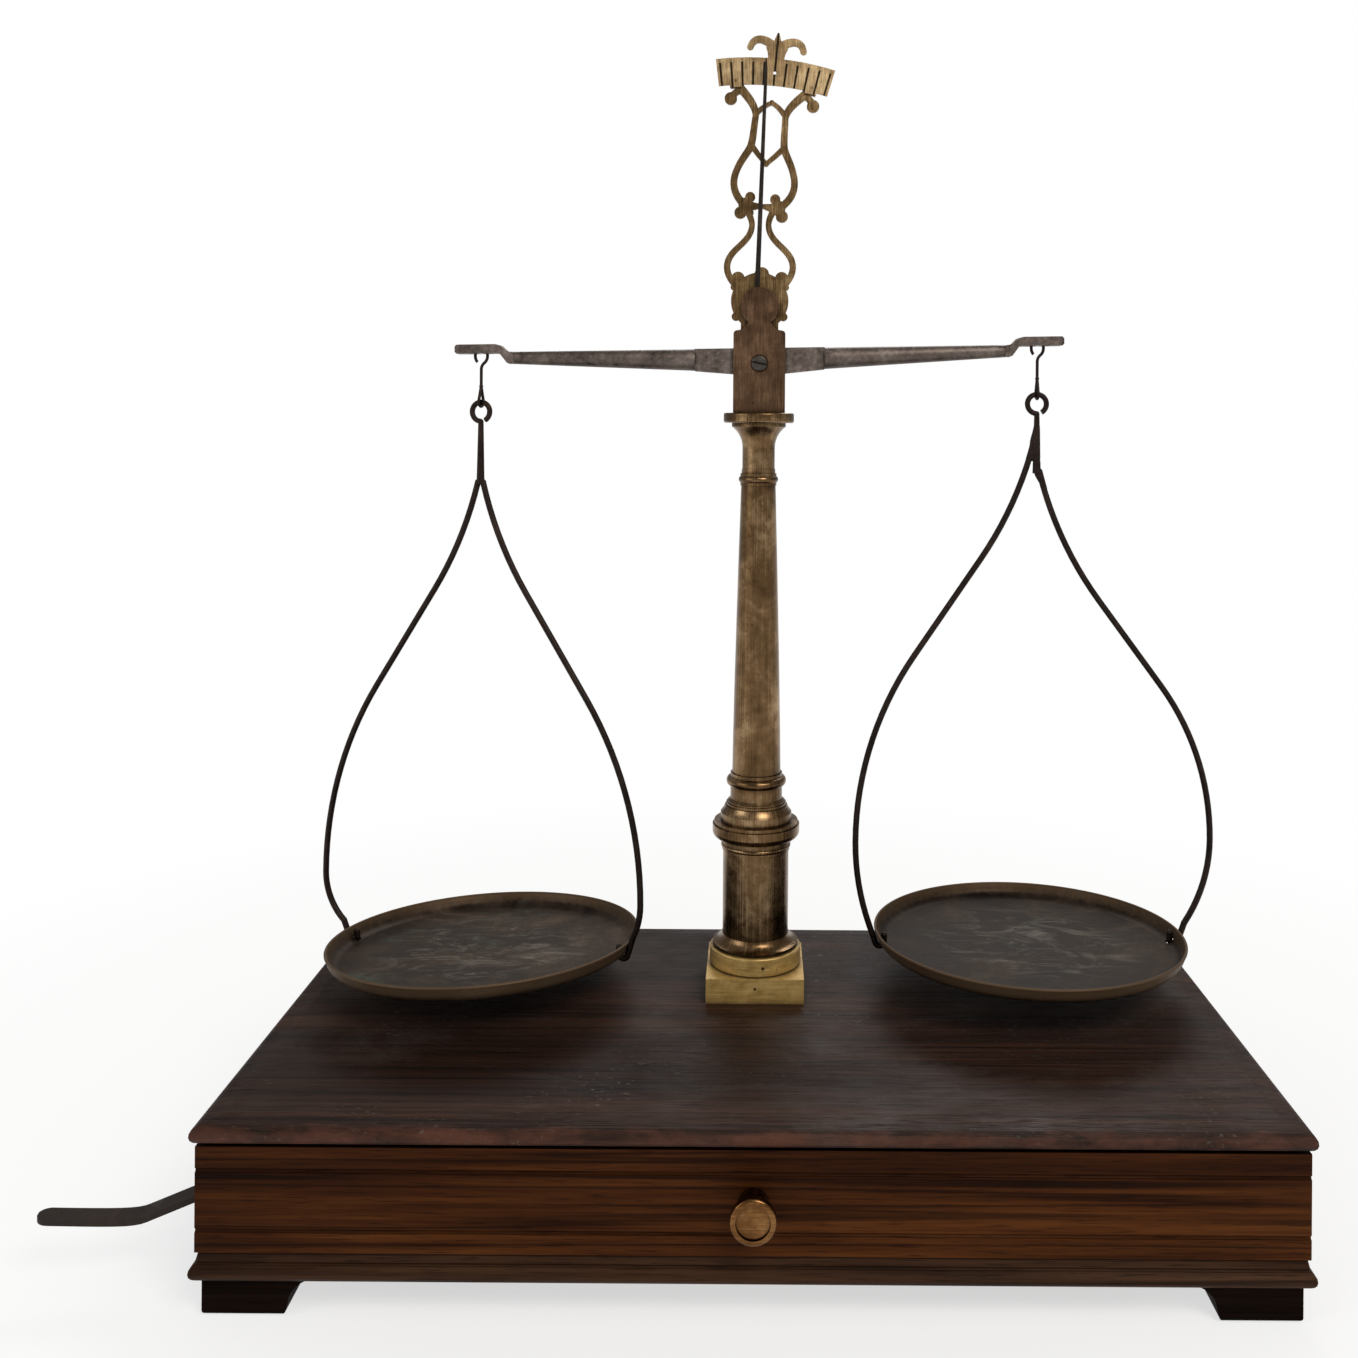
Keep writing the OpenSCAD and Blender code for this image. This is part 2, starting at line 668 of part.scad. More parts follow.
module drawer_bottom() color(wood_dark) {
    translate([drawer_x0 + drawer_side_t, front_y + drawer_front_t, drawer_z + 2]) {
        cube([drawer_in_w, drawer_l - drawer_side_t, drawer_bottom_t]);
    }
}
rosette_t = 1.2;
module drawer_rosette() color(brass) {
    translate([0, front_y, knob_z]) rotate([90, 0, 0]) difference() {
        union() {
            cylinder(r = 6.4, h = rosette_t*0.6, $fn = fine);
            cylinder(r = 5.4, h = rosette_t, $fn = fine);
        }
        translate([0, 0, -1]) cylinder(r = spindle_r + seat_fit, h = 4, $fn = 24);
    }
}
module drawer_knob() color(brass) {
    l = knob_l - rosette_t;
    disc = 4.4;
    translate([0, front_y - rosette_t, knob_z]) rotate([90, 0, 0]) {
        rotate_extrude($fn = fine) difference() {
            union() {
                square([4.6, l - disc + 1]);
                translate([0, l - disc]) square([knob_r - 1.2, disc]);
                translate([0, l - disc + 1.2]) square([knob_r, disc - 2.4]);
                dot([knob_r - 1.2, l - disc + 1.2], 1.2);
                dot([knob_r - 1.2, l - 1.2], 1.2);
            }
            dot([4.6 + 2.6, (l - disc)/2], 3.4);
            translate([0, l - 1]) square([knob_r - 2.4, 3]);
        }
        translate([0, 0, -drawer_front_t - rosette_t]) cylinder(r = spindle_r, h = drawer_front_t + 2, $fn = 24);
        cylinder(r = spindle_r, h = 2, $fn = 24);
    }
}

module rock_shaft() color(iron) {
    translate([rock_x, rock_back, rock_z]) rotate([90, 0, 0]) {
        cylinder(r = rock_r, h = rock_back - rock_front, $fn = fine);
    }
}
// Handle: a hub on the shaft, a flat sloping strip and the level finger piece
module lever_handle() color(iron) {
    elbow = [-handle_slope_l*cos(handle_slope), -handle_slope_l*sin(handle_slope)];
    tip = elbow + handle_tip_l*[-cos(handle_rise), sin(handle_rise)];
    difference() {
        union() {
            translate([rock_x, -handle_y + handle_w/2 + 1, rock_z]) rotate([90, 0, 0]) {
                cylinder(r = hub_r, h = handle_w + 2, $fn = fine);
            }
            translate([rock_x, -handle_y, rock_z]) rotate([0, 0, handle_turn]) {
                intersection() {
                    translate([0, handle_w/2, 0]) rotate([90, 0, 0]) {
                        linear_extrude(height = handle_w) {
                            band([[0, 0], elbow*0.3, elbow*0.6, elbow*0.9, elbow,
                                elbow*0.8 + tip*0.2, tip], [handle_t, handle_t, handle_t*0.8], 8);
                        }
                    }
                    translate([tip[0] + handle_w/2, 0, -60]) linear_extrude(height = 90) {
                        circle(r = handle_w/2, $fn = fine);
                        translate([0, -handle_w/2]) square([200, handle_w]);
                    }
                }
            }
        }
        translate([rock_x, 0, rock_z]) rotate([90, 0, 0]) {
            cylinder(r = rock_r + seat_fit, h = case_d, $fn = fine);
        }
    }
}
module lifting_arm() color(iron) {
    difference() {
        union() {
            translate([rock_x, arm_w/2 + 2, rock_z]) rotate([90, 0, 0]) {
                cylinder(r = hub_r, h = arm_w + 4, $fn = fine);
            }
            translate([rock_x, -arm_w/2, rock_z - arm_h/2]) cube([-rock_x, arm_w, arm_h]);
            translate([0, arm_w/2, rock_z]) rotate([90, 0, 0]) cylinder(r = nose_r, h = arm_w, $fn = fine);
        }
        translate([rock_x, arm_w, rock_z]) rotate([90, 0, 0]) {
            cylinder(r = rock_r + seat_fit, h = 2*arm_w, $fn = fine);
        }
    }
}

module lifting_rod() color(iron) {
    translate([0, 0, rod_foot_z]) cylinder(r = rod_r, h = rod_top_z - rod_foot_z, $fn = fine);
}
module rod_foot() color(brass) {
    translate([0, 0, rod_foot_z]) difference() {
        cylinder(r = rod_foot_r, h = rod_foot_h, $fn = fine);
        translate([0, 0, -1]) cylinder(r = rod_r + seat_fit, h = rod_foot_h + 2, $fn = fine);
    }
}
module head_block() color(brass) {
    difference() {
        translate([-cheek_w/2 + 0.8, -cheek_y, head_z]) cube([cheek_w - 1.6, 2*cheek_y, block_h]);
        translate([0, 0, head_z - 1]) {
            cylinder(r = rod_r + seat_fit, h = rod_top_z - head_z + 1.2, $fn = fine);
        }
    }
}
// Outline of a cheek: square body, hollow shoulders, neck and round head
module cheek_outline() {
    polygon(mirrored(concat([[cheek_w/2, 0], [cheek_w/2, cheek_h - 1.6], [cheek_w/2 - 0.5, cheek_h - 0.5]],
        arc_points([neck_w/2 + shoulder_r, shoulder_z], shoulder_r, 270, 180, 8),
        [[neck_w/2, cheek_head_z]])));
    dot([0, cheek_head_z], cheek_head_r);
}
module cheek_plate(y0, countersink) color(brass) {
    difference() {
        translate([0, y0 + cheek_t, head_z]) rotate([90, 0, 0]) {
            linear_extrude(height = cheek_t) cheek_outline();
        }
        translate([0, y0 + cheek_t + 1, head_z + screw_z]) rotate([90, 0, 0]) {
            cylinder(r = screw_r + seat_fit, h = cheek_t + 2, $fn = 24);
        }
        if (countersink) {
            translate([0, y0 + 0.6, head_z + screw_z]) rotate([90, 0, 0]) {
                cylinder(r = screw_head_r + 0.7, h = 2, $fn = fine);
            }
        }
    }
}
// The round recess that the centre knife turns in
module knife_seat(y0) {
    translate([0, y0, knife_h - knife_edge_gap + bearing_r]) rotate([90, 0, 0]) {
        cylinder(r = bearing_r, h = bearing_depth, $fn = fine);
    }
}
module front_cheek() difference() {
    cheek_plate(-cheek_out, true);
    knife_seat(-cheek_y + 0.01);
}
module rear_cheek() difference() {
    cheek_plate(cheek_y, false);
    knife_seat(cheek_y + bearing_depth - 0.01);
}
module cheek_screw() color(iron) {
    l = 2*cheek_out + index_t;
    translate([0, -cheek_out + 0.6, head_z + screw_z]) rotate([-90, 0, 0]) {
        cylinder(r = screw_r, h = l - 0.6, $fn = 24);
        difference() {
            translate([0, 0, -1.9]) intersection() {
                cylinder(r = screw_head_r, h = 1.9, $fn = fine);
                translate([0, 0, 5.2]) sphere(r = 6.1, $fn = fine);
            }
            rotate([0, 0, 12]) translate([-6, -0.5, -3]) cube([12, 1, 2]);
        }
    }
}

// Lower index plate, upright: scalloped shield with three lobes, lyre arms above it
module index_lower(t) {
    k = index_bridge_z/99;
    boss([0, 56.8*k], 15.3, t);
    both() {
        boss([12.6, 48.9*k], 2.3, t);
        boss([14, 63.8*k], 1.6, t);
        boss([11.6, 68.4*k], 3.5, t);
        strip([[12.6, 64.6*k], [18.6, 70.5*k], [19.4, 76.5*k], [13.6, 82.3*k], [9.4, 86.4*k], [4.6, 89.6*k],
            [4.4, 95.4*k], [4.4, 98*k], [5.4, 99.6*k], [6.4, 102*k]], [3.6, 3.3, 3.1, 3.4], t);
    }
    translate([-10, 18, 0]) cube([20, 36*k, t]);
    boss([1, 70.4*k], 3.9, t);
    translate([-12.2, 56*k, 0]) cube([24.4, 12*k, t]);
}
// Upper index plate, leaning: trefoils and bridge, pear arms, zigzag ties, scrolls and balls
module index_upper(t) {
    k = scale_rise/80.8;
    strip([[-6.4, 9.2*k], [-4.4, 8.7*k], [-2.2, 9.4*k], [0, 9.4*k], [2.2, 9.4*k], [4.4, 8.7*k], [6.4, 9.2*k]],
        [5, 2.2, 5], t);
    both() {
        boss([8.6, 9.2*k], 4.0, t);
        boss([6.7, 13.7*k], 2.7, t);
        boss([11.1, 4.9*k], 3.2, t);
        boss([5.6, 5.4*k], 1.6, t);
        strip([[10.2, 10*k], [15.6, 14.6*k], [17.8, 20.5*k], [14.9, 28.3*k], [13.2, 33.6*k], [9.9, 37.8*k],
            [8.9, 41*k], [8.1, 45.4*k], [8.3, 52*k], [7.9, 57.2*k], [8.2, 62*k], [12.4, 66.6*k], [19.6, 73*k]],
            [4.0, 3.5, 3.9, 3.4, 4.6], t);
        strip([[8.7, 41.4*k], [6, 38.2*k], [3, 34.8*k], [-0.6, 31.4*k]], [3.0, 2.3], t, 2);
        strip([[7.4, 58.8*k], [5, 61.6*k], [2.6, 64*k], [-0.6, 64.9*k]], [2.8, 2.1], t, 4);
        strip([[15.2, 69.4*k], [17.2, 69.9*k], [20, 69.6*k], [21.6, 65.6*k]], [3.2, 3.6], t, 8);
        boss([22, 65*k], 3.3, t);
    }
    boss([0, 32.2*k], 1.6, t);
    boss([0, 64.9*k], 1.3, t);
}
scale_c = [0, knife_z - index_bridge_z];
scale_r = scale_rise + index_bridge_z - knife_z + scale_h/2;
pad_a = scale_half*0.69;
module leaning() {
    translate([0, index_bridge_z - 3, 0]) rotate([0, 0, -index_lean]) children();
}
module about_knife(a) {
    translate([scale_c[0], scale_c[1], 0]) rotate([0, 0, a]) children();
}
module rivet_places(r, t) {
    for (a = [-pad_a, pad_a]) {
        leaning() about_knife(a) translate([0, scale_r - scale_h + 2.2, -1]) cylinder(r = r, h = t, $fn = 16);
    }
}
// Turns a plate drawn flat into the upright plane, with its back face at y
module upright(y) {
    translate([0, y, head_z]) rotate([90, 0, 0]) children();
}
module index_frame() color(brass) upright(index_y + index_t) difference() {
    union() {
        index_lower(index_t);
        leaning() index_upper(index_t);
        leaning() for (a = [-pad_a, pad_a]) about_knife(a) {
            translate([-2.9, scale_r - scale_h - 1.5, 0]) cube([5.8, 7, index_t]);
        }
    }
    rivet_places(0.75, index_t + 2);
    translate([0, screw_z, -1]) cylinder(r = screw_r + seat_fit, h = index_t + 2, $fn = 24);
}
// Scale: a curved band about the centre knife, with lugs below and the lily finial above
module scale_outline(t) {
    top = scale_rise + scale_h/2;
    about_knife(0) difference() {
        intersection() {
            cylinder(r = scale_r, h = t, $fn = 96);
            linear_extrude(height = t) {
                polygon([[0, 0], [200*tan(scale_half), 200], [-200*tan(scale_half), 200]]);
            }
        }
        translate([0, 0, -1]) cylinder(r = scale_r - scale_h, h = t + 2, $fn = 96);
    }
    for (a = [-pad_a, pad_a]) about_knife(a) {
        translate([-3.2, scale_r - scale_h - 1.3, 0]) cube([6.4, 3, t]);
    }
    both() {
        strip([[-1, top + 3.8], [4.2, top + 9.6], [12.4, top + 12.4], [14.2, top + 5]], [5, 3.4], t, 14);
        boss([14.2, top + 5], 1.75, t);
        strip([[2.2, top - 0.6], [2.4, top + 2], [3, top + 4], [4.4, top + 6.4]], [4.2, 3.4], t, 6);
    }
    translate([-2.6, top - 0.8, 0]) cube([5.2, 8, t]);
    linear_extrude(height = t) polygon([[-2.4, top + 5.5], [2.4, top + 5.5], [1.9, top + 9.4],
        [0.4, top + 13.7], [-0.4, top + 13.7], [-1.9, top + 9.4]]);
}
module index_scale() color(brass) upright(scale_y + scale_t) difference() {
    pitch = 2*scale_half*0.94/(scale_marks - 1);
    leaning() scale_outline(scale_t);
    leaning() translate([0, scale_rise - 0.4, -1]) cylinder(r = 0.9, h = scale_t + 2, $fn = 16);
    rivet_places(0.75, scale_t + 2);
    leaning() for (i = [0:scale_marks - 1]) about_knife((i - (scale_marks - 1)/2)*pitch) {
        translate([-0.45, scale_r - scale_h - 3, scale_t - 0.35]) cube([0.9, scale_h + 4, 1]);
    }
}
module index_rivets() color(brass) upright(scale_y + scale_t + index_t) {
    translate([0, 0, 1]) rivet_places(0.7, scale_t + index_t);
}

// Beam, drawn level with the centre knife edge at the origin
module beam_arm() {
    r_mid = beam_r1;
    z_top = beam_top;
    hull_l = arm_end - beam_flat_l;
    a = atan((beam_r1 - beam_r2)/hull_l);
    translate([beam_flat_l, 0, z_top - r_mid]) rotate([0, 90 - a, 0]) {
        cylinder(r1 = beam_r1, r2 = beam_r2, h = hull_l/cos(a), $fn = fine);
    }
}
module beam_side() {
    z_end = end_top - end_t;
    tip = arm_l + end_l;
    beam_arm();
    translate([arm_end, 0, beam_top - beam_r2]) sphere(r = beam_r2*1.02, $fn = fine);
    difference() {
        intersection() {
            translate([0, end_w/2, 0]) rotate([90, 0, 0]) linear_extrude(height = end_w) {
                polygon([[arm_end - 2, beam_top - 2*beam_r2 + 0.6], [arm_end - 2, beam_top - 0.6],
                    [arm_end + 2, beam_top + 0.4], [rise_end - 1.5, end_top - 0.6], [rise_end + 1, end_top],
                    [tip - 1, end_top], [tip, end_top - 1], [tip, z_end + 1], [tip - 1, z_end],
                    [rise_end, z_end], [rise_end - 1.5, z_end - 0.5], [arm_end + 1.5, beam_top - 2*beam_r2 + 0.4]]);
            }
            translate([0, 0, -30]) linear_extrude(height = 60) {
                polygon([[arm_end - 3, -beam_r2], [arm_end - 3, beam_r2], [rise_end, end_w/2],
                    [tip - end_w*0.3, end_w/2], [tip, end_w*0.28], [tip, -end_w*0.28],
                    [tip - end_w*0.3, -end_w/2], [rise_end, -end_w/2]]);
            }
        }
        translate([arm_l - end_slot_l/2, -end_slot_w/2, -30]) cube([end_slot_l, end_slot_w, 60]);
        translate([arm_l, 0, -end_knife_drop]) rotate([90, 0, 0]) {
            translate([0, 0, -end_w]) linear_extrude(height = 2*end_w) end_knife_outline(seat_fit);
        }
    }
}
module end_knife_outline(g) {
    polygon([[0, 0.9*g + (g > 0 ? 0.05 : 0)], [end_knife_r*0.62 + g, -end_knife_r*1.5],
        [end_knife_r*0.62 + g, -end_knife_r*1.7 - g], [-end_knife_r*0.62 - g, -end_knife_r*1.7 - g],
        [-end_knife_r*0.62 - g, -end_knife_r*1.5]]);
}
module centre_knife_outline(g) {
    polygon([[0, -1.4*g], [knife_r*0.5 + g, knife_r*0.9], [knife_r*0.5 + g, knife_r + g],
        [-knife_r*0.5 - g, knife_r + g], [-knife_r*0.5 - g, knife_r*0.9]]);
}
module at_beam() {
    translate([0, 0, knife_h]) rotate([0, -beam_tilt, 0]) children();
}
module beam() color(iron) at_beam() difference() {
    union() {
        beam_side();
        mirror([1, 0, 0]) beam_side();
        translate([0, beam_t/2, 0]) rotate([90, 0, 0]) linear_extrude(height = beam_t) {
            polygon(mirrored([[beam_flat_l, beam_top - 2*beam_r1 - 0.2], [beam_flat_l + 0.6, beam_top - 1],
                [beam_flat_l, beam_top], [hub_w/2 - 1, beam_top], [hub_w/2 - 3, hub_up], [5.6, hub_up],
                [5.2, hub_up + hub_neck]]));
            polygon(mirrored([[hub_w/2, beam_top - beam_h], [beam_flat_l, beam_top - 2*beam_r1 - 0.2],
                [beam_flat_l, beam_top - 3]]));
        }
    }
    translate([0, beam_t, -screw_drop]) rotate([90, 0, 0]) {
        cylinder(r = screw_r + screw_play, h = 2*beam_t, $fn = 24);
    }
    translate([0, beam_t, 0]) rotate([90, 0, 0]) linear_extrude(height = 2*beam_t) {
        centre_knife_outline(seat_fit);
    }
    translate([-pointer_off, 0, 0]) rotate([0, pointer_lean, 0]) {
        translate([-pointer_w/2 - seat_fit, -1.3 - seat_fit, pointer_foot - seat_fit]) {
            cube([pointer_w + 2*seat_fit, 2.6 + 2*seat_fit, 10]);
        }
    }
}
module centre_knife() color(iron) at_beam() translate([0, knife_len/2, 0]) rotate([90, 0, 0]) {
    linear_extrude(height = knife_len) centre_knife_outline(0);
}
module end_knife() translate([0, end_w/2, -end_knife_drop]) rotate([90, 0, 0]) {
    linear_extrude(height = end_w) end_knife_outline(0);
}
module left_end_knife() color(iron) at_beam() translate([-arm_l, 0, 0]) end_knife();
module right_end_knife() color(iron) at_beam() translate([arm_l, 0, 0]) end_knife();
module pointer() color(iron) at_beam() translate([-pointer_off, 0, 0]) rotate([0, pointer_lean, 0]) {
    translate([0, 1.3, 0]) rotate([90, 0, 0]) linear_extrude(height = 2.6) {
        polygon([[-pointer_w/2, pointer_foot], [pointer_w/2, pointer_foot],
            [pointer_tip_w/2, pointer_l - 6], [0.2, pointer_l], [-0.2, pointer_l],
            [-pointer_tip_w/2, pointer_l - 6]]);
    }
}

// A piece of round wire bent in the upright plane: an arc of radius bend from angle a, sweep long
module arc_wire(c, bend, a, sweep, r) {
    translate([c[0], 0, c[1]]) rotate([90, 0, 0]) rotate([0, 0, a]) {
        rotate_extrude(angle = sweep, $fn = fine) translate([bend, 0]) circle(r = r, $fn = 32);
    }
}
// A straight piece of wire with a small round bead at each end, where the next bend starts
module rod_wire(a, b, r) {
    d = b - a;
    translate([a[0], 0, a[1]]) rotate([0, atan2(d[0], d[1]), 0]) {
        translate([0, 0, r*0.1]) cylinder(r = r, h = norm(d) - r*0.2, $fn = 32);
        sphere(r = r*1.02, $fn = 32);
        translate([0, 0, norm(d)]) sphere(r = r*1.02, $fn = 32);
    }
}
// Hook, with the knife edge at its origin and its eye turned to the bow
module hook(turn) color(iron) {
    c = [0, -crook_drop];
    low = 1.8;
    bend = 4.5;
    a = acos(1 - crook_r/(2*bend));
    s0 = c + [crook_r, -low];
    s1 = [0, s0[1] - 2*bend*sin(a)];
    top = eye_z + eye_top;
    arc_wire(c, crook_r, 0, 180, hook_wire_r);
    rod_wire(c + [crook_r, 0], s0, hook_wire_r);
    arc_wire(s0 - [bend, 0], bend, 0, -a, hook_wire_r);
    arc_wire(s1 + [bend, 0], bend, 180, 1 - a, hook_wire_r);
    translate([(s0[0] + s1[0])/2, 0, (s0[1] + s1[1])/2]) sphere(r = hook_wire_r*1.03, $fn = 32);
    rod_wire(s1, [0, top], hook_wire_r);
    translate([0, 0, top]) sphere(r = hook_wire_r*1.35, $fn = 32);
    rod_wire(c - [crook_r, 0], c - [crook_r, low], hook_wire_r);
    arc_wire(c + [bend - crook_r, -low], bend, 180, 42, hook_wire_r);
    rotate([0, 0, 90 + turn]) {
        arc_wire([0, eye_z], eye_r, 180 - eye_half, 180 + 2*eye_half, hook_wire_r);
        for (s = [-1, 1]) {
            rod_wire([s*eye_r*cos(eye_half), eye_z + eye_r*sin(eye_half)], [0, top], hook_wire_r);
        }
    }
}
module left_hook() translate(left_knife) hook(left_turn);
module right_hook() translate(right_knife) hook(right_turn);

// Bow wire end: passes outside the rim, turns under the pan and comes up through its hole
module bow_foot() {
    n = [cos(pan_flare), -sin(pan_flare)];
    turn_in = u_c + u_r*n;
    sweep = 180 - pan_flare;
    arc_wire(u_c, u_r, -pan_flare, -sweep, wire_r);
    rod_wire(leg_end, turn_in, wire_r);
    rod_wire(u_c - [u_r, 0], u_c + [-u_r, 3.2], wire_r);
}
// One leg of a bow from its parting on the stem to the pan's rim, x outwards, z from the ring's centre
module bow_leg(stem, belly_r, half_w, wide_z, drop, foot) {
    p0 = [wire_r - 0.1, -bow_ring_r - stem];
    m = [half_w, wide_z - drop];
    ca = p0 + bow_neck_r*[cos(bow_spread), sin(bow_spread)];
    cb = m - [belly_r, 0];
    d = ca - cb;
    th = atan2(d[1], d[0]) - acos(min(1, (bow_neck_r + belly_r)/norm(d)));
    n = [cos(th), sin(th)];
    g = 2*atan((m[0] - foot[0])/(m[1] - foot[1]));
    rc = (m[1] - foot[1])/sin(g);
    translate([p0[0], 0, p0[1]]) sphere(r = wire_r*1.02, $fn = 32);
    arc_wire(ca, bow_neck_r, 180 + bow_spread, th - bow_spread, wire_r);
    rod_wire(ca - bow_neck_r*n, cb + belly_r*n, wire_r);
    arc_wire(cb, belly_r, 0, th, wire_r);
    arc_wire(m - [rc, 0], rc, 0, -g, wire_r);
}
function lean_point(p, s, lean, drop) = [s*(p[0]*cos(lean) + s*p[1]*sin(lean)),
    -drop + p[1]*cos(lean) - s*p[0]*sin(lean)];
// Bow with the ring's centre at the origin; lean and shift are those of the pan that it carries
module bow(stems, bellies, half_w, wide_z, drop, lean, shift) color(iron) {
    stem = max(stems[0], stems[1]);
    right = lean_point(leg_end, 1, lean, drop);
    left = lean_point(leg_end, -1, lean, drop);
    arc_wire([0, 0], bow_ring_r, -60, 330, ring_wire_r);
    rod_wire([0, -bow_ring_r], [0, -bow_ring_r - 1], ring_wire_r*0.9);
    translate([0, 0, -bow_ring_r - stem - 1]) cylinder(r1 = 2.1, r2 = ring_wire_r, h = stem + 1, $fn = 32);
    bow_leg(stems[1], bellies[1], half_w, wide_z, drop, right + [shift, 0]);
    mirror([1, 0, 0]) bow_leg(stems[0], bellies[0], half_w, wide_z, drop, [-left[0] - shift, left[1]]);
    translate([shift, 0, -drop]) rotate([0, lean, 0]) {
        bow_foot();
        mirror([1, 0, 0]) bow_foot();
    }
}
module left_bow() translate(left_knife + [0, 0, ring_z]) rotate([0, 0, left_turn]) {
    bow([left_stem, left_stem], [left_belly_r, left_belly_r], left_half_w, left_wide_z, bow_drop,
        -left_pan_lean, left_pan_shift);
}
module right_bow() translate(right_knife + [0, 0, ring_z]) rotate([0, 0, right_turn]) {
    bow([right_inner_stem, right_stem], [right_inner_belly_r, right_belly_r], right_half_w, right_wide_z,
        right_bow_drop, right_pan_lean, -right_pan_shift);
}

// Pan: flat bottom, round bend, flared wall, and the two holes for the bow's ends
module pan_profile() {
    n = [cos(pan_flare), -sin(pan_flare)];
    wall = pan_t*0.62;
    polygon(concat([[0, pan_t - pan_h], [0, -pan_h]],
        arc_points(bend_c, pan_bend_r, 270, 360 - pan_flare, 8),
        arc_points([pan_r, 0] - n*pan_t/2, wall, -pan_flare - 30, 180 - pan_flare + 30, 8),
        arc_points(bend_c, pan_bend_r - pan_t, 360 - pan_flare, 270, 8)));
}
// The pan tips about the line through its two holes
module pan(lean, tip) color(pan_metal) {
    rotate([0, lean, 0]) translate([0, 0, hole_z]) rotate([-tip, 0, 0]) translate([0, 0, -hole_z]) difference() {
        rotate_extrude($fn = 96) pan_profile();
        for (s = [0, 180]) rotate([0, 0, s]) translate([bend_c[0], 0, bend_c[1]]) {
            rotate([0, 90 + hook_phi, 0]) cylinder(r = hole_r, h = pan_bend_r + 2, $fn = 32);
        }
    }
}
module left_pan() translate(left_knife + [0, 0, ring_z - bow_drop]) rotate([0, 0, left_turn]) {
    translate([left_pan_shift, 0, 0]) pan(-left_pan_lean, left_pan_tip);
}
module right_pan() translate(right_knife + [0, 0, ring_z - right_bow_drop]) rotate([0, 0, right_turn]) {
    translate([-right_pan_shift, 0, 0]) pan(right_pan_lean, right_pan_tip);
}

foot_front_left();
foot_front_right();
foot_back_left();
foot_back_right();
base_board();
side_left();
side_right();
back_board();
top_board();
drawer_partition();
bearing_front();
bearing_rear();
column_plinth();
column_drum();
column_pedestal();
column_shaft();
column_capital();
column_nut();
drawer_front();
drawer_side_left();
drawer_side_right();
drawer_back();
drawer_bottom();
drawer_rosette();
drawer_knob();
rock_shaft();
lever_handle();
lifting_arm();
lifting_rod();
rod_foot();
head_block();
front_cheek();
rear_cheek();
cheek_screw();
index_frame();
index_scale();
index_rivets();
beam();
centre_knife();
left_end_knife();
right_end_knife();
pointer();
left_hook();
right_hook();
left_bow();
right_bow();
left_pan();
right_pan();
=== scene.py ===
import json
import math

import bmesh
import bpy
from mathutils import Matrix, Vector


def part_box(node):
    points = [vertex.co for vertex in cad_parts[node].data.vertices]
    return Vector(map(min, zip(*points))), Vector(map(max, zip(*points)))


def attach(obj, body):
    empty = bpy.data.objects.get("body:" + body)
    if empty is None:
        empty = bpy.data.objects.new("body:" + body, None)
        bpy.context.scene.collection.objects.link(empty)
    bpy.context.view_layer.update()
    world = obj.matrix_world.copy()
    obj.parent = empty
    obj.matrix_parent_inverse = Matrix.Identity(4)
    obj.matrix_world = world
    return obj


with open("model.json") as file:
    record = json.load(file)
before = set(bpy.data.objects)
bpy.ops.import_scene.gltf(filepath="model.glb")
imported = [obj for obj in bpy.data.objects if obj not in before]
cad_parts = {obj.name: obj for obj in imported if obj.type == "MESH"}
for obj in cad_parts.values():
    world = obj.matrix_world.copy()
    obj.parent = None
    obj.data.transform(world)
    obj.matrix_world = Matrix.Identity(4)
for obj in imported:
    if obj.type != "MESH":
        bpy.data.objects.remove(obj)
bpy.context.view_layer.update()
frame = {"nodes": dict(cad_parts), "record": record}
NODES = frame["nodes"]
SLOTS = {s["node"]: s["material_slot"] for s in frame["record"]["subparts"]}


# Rays per sample that look for the corners which the finishes paint darker as painted shade
CREVICE_SAMPLES = 6


